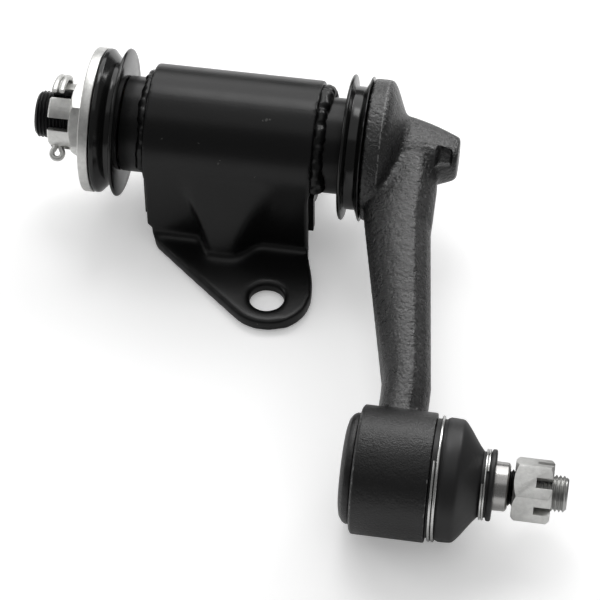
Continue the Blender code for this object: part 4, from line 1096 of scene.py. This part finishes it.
nut_start, nut_end, _ = span("pivot_castle_nut")
HEX_LENGTH = 7.0 * MM
HEX_START = nut_end - HEX_LENGTH
CROWN_RADIUS = 14.0 * MM
NUT_FLATS = 30 * MM
NUT_BORE = 9.75 * MM
CROWN_SLOT = 5.5 * MM
NUT_TURN = math.radians(2.0)
SLOT_TURN = NUT_TURN + math.radians(30.0)
castle = hex_nut("castle_nut", HEX_START, nut_end, NUT_FLATS, NUT_TURN, PIVOT, 1.6 * MM)
crown = lathe(
    "tool",
    [
        (nut_start, CROWN_RADIUS - 0.8 * MM),
        (nut_start + 0.8 * MM, CROWN_RADIUS),
        (HEX_START + 1.0 * MM, CROWN_RADIUS),
    ],
    solid=True,
)
cut(castle, crown, "UNION")
drill_through(castle, NUT_BORE, nut_start, nut_end, PIVOT)
slot_foot = HEX_START - 0.4 * MM
mill_slots(castle, nut_start - 2 * MM, slot_foot, CROWN_SLOT, 20 * MM, SLOT_TURN, PIVOT)
soften(castle, 0.35 * MM, segments=2, angle=30.0)
dress(castle, plain_zinc, "zinc_plate", "arm", "pivot_castle_nut")

# The cotter pin: soft plated wire folded double, pushed through the slots and the shaft, its two legs
# bent apart over the crown.
COTTER_X = nut_start + 3.9 * MM
COTTER_WIRE = 1.2 * MM
COTTER_EYE = 2.3 * MM
COTTER_GAP = 1.04
LEG_SPLAY = 1.30
LEG_BEND = 2.6 * MM


def cotter_spot(radius, tangent, along):
    """A point by its distance from the axis, across the slot and along the shaft."""
    c, s = math.cos(SLOT_TURN), math.sin(SLOT_TURN)
    return PIVOT + Vector((COTTER_X + along, radius * c - tangent * s, radius * s + tangent * c))


def cotter_leg(side):
    """One leg's centre line: wrapped round the crown, bent in, and through the shaft to the eye."""
    apart, splay = COTTER_GAP * COTTER_WIRE, LEG_SPLAY * COTTER_WIRE
    lie = CROWN_RADIUS + COTTER_WIRE + 0.6 * MM
    points = []
    for step in range(12):
        wrap = math.radians(66.0) * (1 - step / 12)
        spread = apart + (splay - apart) * (1 - step / 12)
        points.append(cotter_spot(lie * math.cos(wrap), LEG_BEND + lie * math.sin(wrap), side * spread))
    for step in range(8):
        turn = math.pi / 2 * (1 - step / 8)
        out = lie - LEG_BEND + LEG_BEND * math.sin(turn)
        points.append(cotter_spot(out, LEG_BEND * (1 - math.cos(turn)), side * apart))
    points.append(cotter_spot(lie - LEG_BEND, 0.0, side * apart))
    points.append(cotter_spot(-CROWN_RADIUS, 0.0, side * apart))
    return points


def wire_piece(name, points, radius):
    """A round wire through the points, made a mesh with its caps welded on."""
    curve = bpy.data.curves.new(name, "CURVE")
    curve.dimensions = "3D"
    curve.bevel_depth = radius
    curve.bevel_resolution = 6
    curve.use_fill_caps = True
    line = curve.splines.new("POLY")
    line.points.add(len(points) - 1)
    for target, point in zip(line.points, points):
        target.co = (*point, 1.0)
    holder = bpy.data.objects.new(name, curve)
    bpy.context.scene.collection.objects.link(holder)
    only(holder)
    bpy.ops.object.convert(target="MESH")
    piece = bpy.context.object
    outwards(piece)
    bpy.ops.object.shade_smooth_by_angle(angle=math.radians(50.0))
    return piece


eye_entry = math.asin(COTTER_GAP * COTTER_WIRE / COTTER_EYE)
eye_centre = -(CROWN_RADIUS + 0.6 * MM + COTTER_EYE * math.cos(eye_entry))
eye = []
for step in range(1, 24):
    turn = eye_entry + (2 * math.pi - 2 * eye_entry) * step / 24
    eye.append(cotter_spot(eye_centre + COTTER_EYE * math.cos(turn), 0.0, COTTER_EYE * math.sin(turn)))
cotter = wire_piece("split_pin", cotter_leg(1) + eye + cotter_leg(-1)[::-1], COTTER_WIRE)
dress(cotter, plain_zinc, "zinc_plate", "arm", "cotter_pin")

# The ball stud: a ball, a neck, the ground seat for the linkage's eye, and a fine thread whose first
# turns, between the seat and the nut, are darkened with painted shade. It is turned and ground from one
# steel bar.
STUD_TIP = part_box("ball_stud")[1].x - BALL.x
STUD_SEAT_END = 43.4 * MM
STUD_NECK_RADIUS = 7.5 * MM
STUD_SEAT_RADIUS = 9.4 * MM
STUD_THREAD_RADIUS = 7.05 * MM
BALL_RADIUS = 13.5 * MM
THREAD_STEEL = (0.50, 0.50, 0.49)
THREAD_PAINTED_SHADE = (0.03, 0.03, 0.03)


def bright_steel():
    """Ground steel with the fine marks of its turning stretched round the axis."""
    material, start, shader = new_finish("ground_steel", (0.52, 0.51, 0.50), 0.24, 1.0)
    where = start.node("TexCoord", output=3)
    stretched = start.node("Mapping", {}, {"Vector": where, "Scale": (14.0, 1.0, 1.0)})
    turning = noise_field(start, stretched, 260.0, 3.0)
    start.feed(shader["Roughness"], 0.17 + 0.16 * turning)
    start.feed(shader["Normal"], bump(start, turning, 0.10, 0.0002))
    return material


ball_steps = [math.radians(148 - (148 - 34) * k / 20) for k in range(21)]
stud = lathe(
    "stud_shank",
    [(BALL_RADIUS * math.cos(t), BALL_RADIUS * math.sin(t)) for t in ball_steps]
    + [
        (18.5 * MM, STUD_NECK_RADIUS),
        (25.0 * MM, STUD_SEAT_RADIUS + 0.2 * MM),
        (STUD_SEAT_END - 0.9 * MM, STUD_SEAT_RADIUS),
        (STUD_SEAT_END - 0.5 * MM, STUD_SEAT_RADIUS - 0.3 * MM),
        (STUD_SEAT_END, 8.2 * MM),
    ],
    steps=96,
    centre=BALL,
    solid=True,
)
only(stud)
bpy.ops.object.shade_smooth_by_angle(angle=math.radians(30.0))
dress(stud, bright_steel(), "bright_steel", "stud", "ball_stud")
thread_start = STUD_SEAT_END - 1 * MM
stud_thread = threaded(
    "stud_thread", thread_start, STUD_TIP, STUD_THREAD_RADIUS, THREAD_PITCH, THREAD_DEPTH, BALL
)
stud_nut_start, stud_nut_end, _ = span("stud_nut", BALL)


def thread_steel():
    """Bright thread with painted shade, which makes it dark between the seat and the nut."""
    material, start, shader = new_finish("thread_steel", THREAD_STEEL, 0.30, 1.0)
    where = start.node("TexCoord", output=3)
    along = where.node("SeparateXYZ", {}, {0: where}) - BALL.x
    spots = noise_field(start, where, 900.0)
    # Painted shade: the thread turns dark from its start to just inside the nut.
    dark = (along + spots * 0.4 * MM).below(stud_nut_start + 1.5 * MM)
    start.feed(shader["Base Color"], two_tone(start, dark, THREAD_STEEL, THREAD_PAINTED_SHADE))
    start.feed(shader["Roughness"], 0.24 + 0.16 * spots)
    start.feed(shader["Normal"], bump(start, spots, 0.12, 0.0002))
    return material


dress(stud_thread, thread_steel(), "bright_steel", "stud")

# The stud nut: a 22 mm hexagon with chamfered corners and six slots milled in its outer end, for a
# cotter that is fitted with the linkage. It is zinc plated steel.
STUD_NUT_TURN = math.radians(21.5)
STUD_NUT_FLATS = 22 * MM
STUD_NUT_BORE = 7.3 * MM
STUD_SLOT = 4.0 * MM
STUD_SLOT_DEPTH = 6.4 * MM
stud_nut = hex_nut(
    "slotted_nut", stud_nut_start, stud_nut_end, STUD_NUT_FLATS, STUD_NUT_TURN, BALL, 1.5 * MM
)
drill_through(stud_nut, STUD_NUT_BORE, stud_nut_start, stud_nut_end, BALL)
slot_start = stud_nut_end - STUD_SLOT_DEPTH
slot_turn = STUD_NUT_TURN + math.radians(30.0)
mill_slots(stud_nut, slot_start, stud_nut_end + 2 * MM, STUD_SLOT, 16 * MM, slot_turn, BALL)
soften(stud_nut, 0.3 * MM, segments=2, angle=30.0)
dress(stud_nut, plain_zinc, "zinc_plate", "stud", "stud_nut")

# The boot: a moulded rubber bellows. Its bead grips the housing's land, and its cone narrows to a grooved
# neck that grips the stud.
BEAD_RADIUS = LAND_RADIUS + 0.3 * MM
SHOULDER = (boot_high.z - boot_low.z) / 2
boot_start, boot_end = boot_low.x - BALL.x, boot_high.x - BALL.x
bead_end = LAND_END + PIVOT.x - BALL.x + 0.3 * MM
shoulder_end = bead_end + 5.6 * MM
neck_start = shoulder_end + 9.2 * MM
NECK = 12.6 * MM
BOOT_BORE = 9.7 * MM
BOOT_WALL = 1.8 * MM


def cone_point(share):
    """The cone's outer face: rounded out of the shoulder, then a hollow curve down to the neck."""
    fall = 0.45 * ease(0.0, 1.1, share) + 0.55 * share
    fall = min(1.0, max(0.0, fall))
    return (shoulder_end + (neck_start - shoulder_end) * share, SHOULDER - (SHOULDER - NECK) * fall)


boot_outer = [
    (boot_start, BEAD_RADIUS + 1.5 * MM),
    (bead_end - 0.7 * MM, BEAD_RADIUS + 1.5 * MM),
    (bead_end - 0.1 * MM, SHOULDER - 0.4 * MM),
    (bead_end + 0.8 * MM, SHOULDER),
    (bead_end + 2.4 * MM, SHOULDER),
    (shoulder_end - 0.4 * MM, SHOULDER - 0.15 * MM),
]
boot_outer += [cone_point(0.06 + 0.88 * k / 14) for k in range(15)]
boot_outer += [
    (neck_start, NECK),
    (neck_start + 2.7 * MM, NECK),
    (neck_start + 3.0 * MM, NECK + 0.9 * MM),
    (neck_start + 3.5 * MM, NECK + 1.25 * MM),
    (boot_end - 0.5 * MM, NECK + 1.2 * MM),
    (boot_end - 0.1 * MM, NECK + 0.7 * MM),
    (boot_end, NECK - 0.1 * MM),
]
boot_inner = [
    (boot_end, BOOT_BORE),
    (neck_start - 0.2 * MM, BOOT_BORE),
    (neck_start - 1.8 * MM, BOOT_BORE + 1.4 * MM),
]
for share in (0.7, 0.45, 0.2):
    x, radius = cone_point(share)
    boot_inner.append((x - 0.6 * BOOT_WALL, radius - 0.8 * BOOT_WALL))
boot_inner += [
    (shoulder_end - BOOT_WALL, SHOULDER - BOOT_WALL),
    (bead_end, SHOULDER - BOOT_WALL),
    (bead_end, BEAD_RADIUS),
    (boot_start, BEAD_RADIUS),
]
boot = lathe("rubber_boot", boot_outer + boot_inner, steps=128, centre=BALL)
only(boot)
bpy.ops.object.shade_smooth_by_angle(angle=math.radians(50.0))
boot.data.materials.clear()
boot.data.materials.append(rubber("boot_rubber", (0.014, 0.014, 0.0145), 0.42, 520.0, 0.06))
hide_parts("dust_boot")
tuple(BALL + Vector((shoulder_end - 1 * MM, 0.0, 0.0)))
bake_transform(boot)

# The boot's two rings: spring wire wound one and a half turns over the bead, and a thinner wire wound
# almost twice round the neck's groove. Both are bright spring steel.


def ring_points(node, wire_radius, turns, first, pitch):
    """Centre line of a wire wound in the place that its node holds."""
    ring_low, ring_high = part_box(node)
    middle = (ring_low.x + ring_high.x) / 2 - BALL.x
    radius = (ring_high.z - ring_low.z) / 2 - wire_radius
    count = int(120 * turns)
    points = []
    for k in range(count + 1):
        share = k / count
        turn = math.radians(first) + 2 * math.pi * turns * share
        along = middle + turns * pitch * (share - 0.5)
        points.append(BALL + Vector((along, radius * math.cos(turn), radius * math.sin(turn))))
    return points


ring_steel = plain_finish("ring_wire", (0.78, 0.78, 0.77), 0.22, 1.0, 900.0, 0.16, 0.0)
LARGE_WIRE = 0.6 * MM
SMALL_WIRE = 0.45 * MM
large_line = ring_points("boot_ring_large", LARGE_WIRE, 1.55, 112.0, 1.5 * MM)
large = wire_piece("bead_ring", large_line, LARGE_WIRE)
dress(large, ring_steel, "zinc_plate", "arm", "boot_ring_large")
small_line = ring_points("boot_ring_small", SMALL_WIRE, 1.94, 127.0, 1.0 * MM)
small = wire_piece("neck_ring", small_line, SMALL_WIRE)
dress(small, ring_steel, "zinc_plate", "boot_mouth", "boot_ring_small")
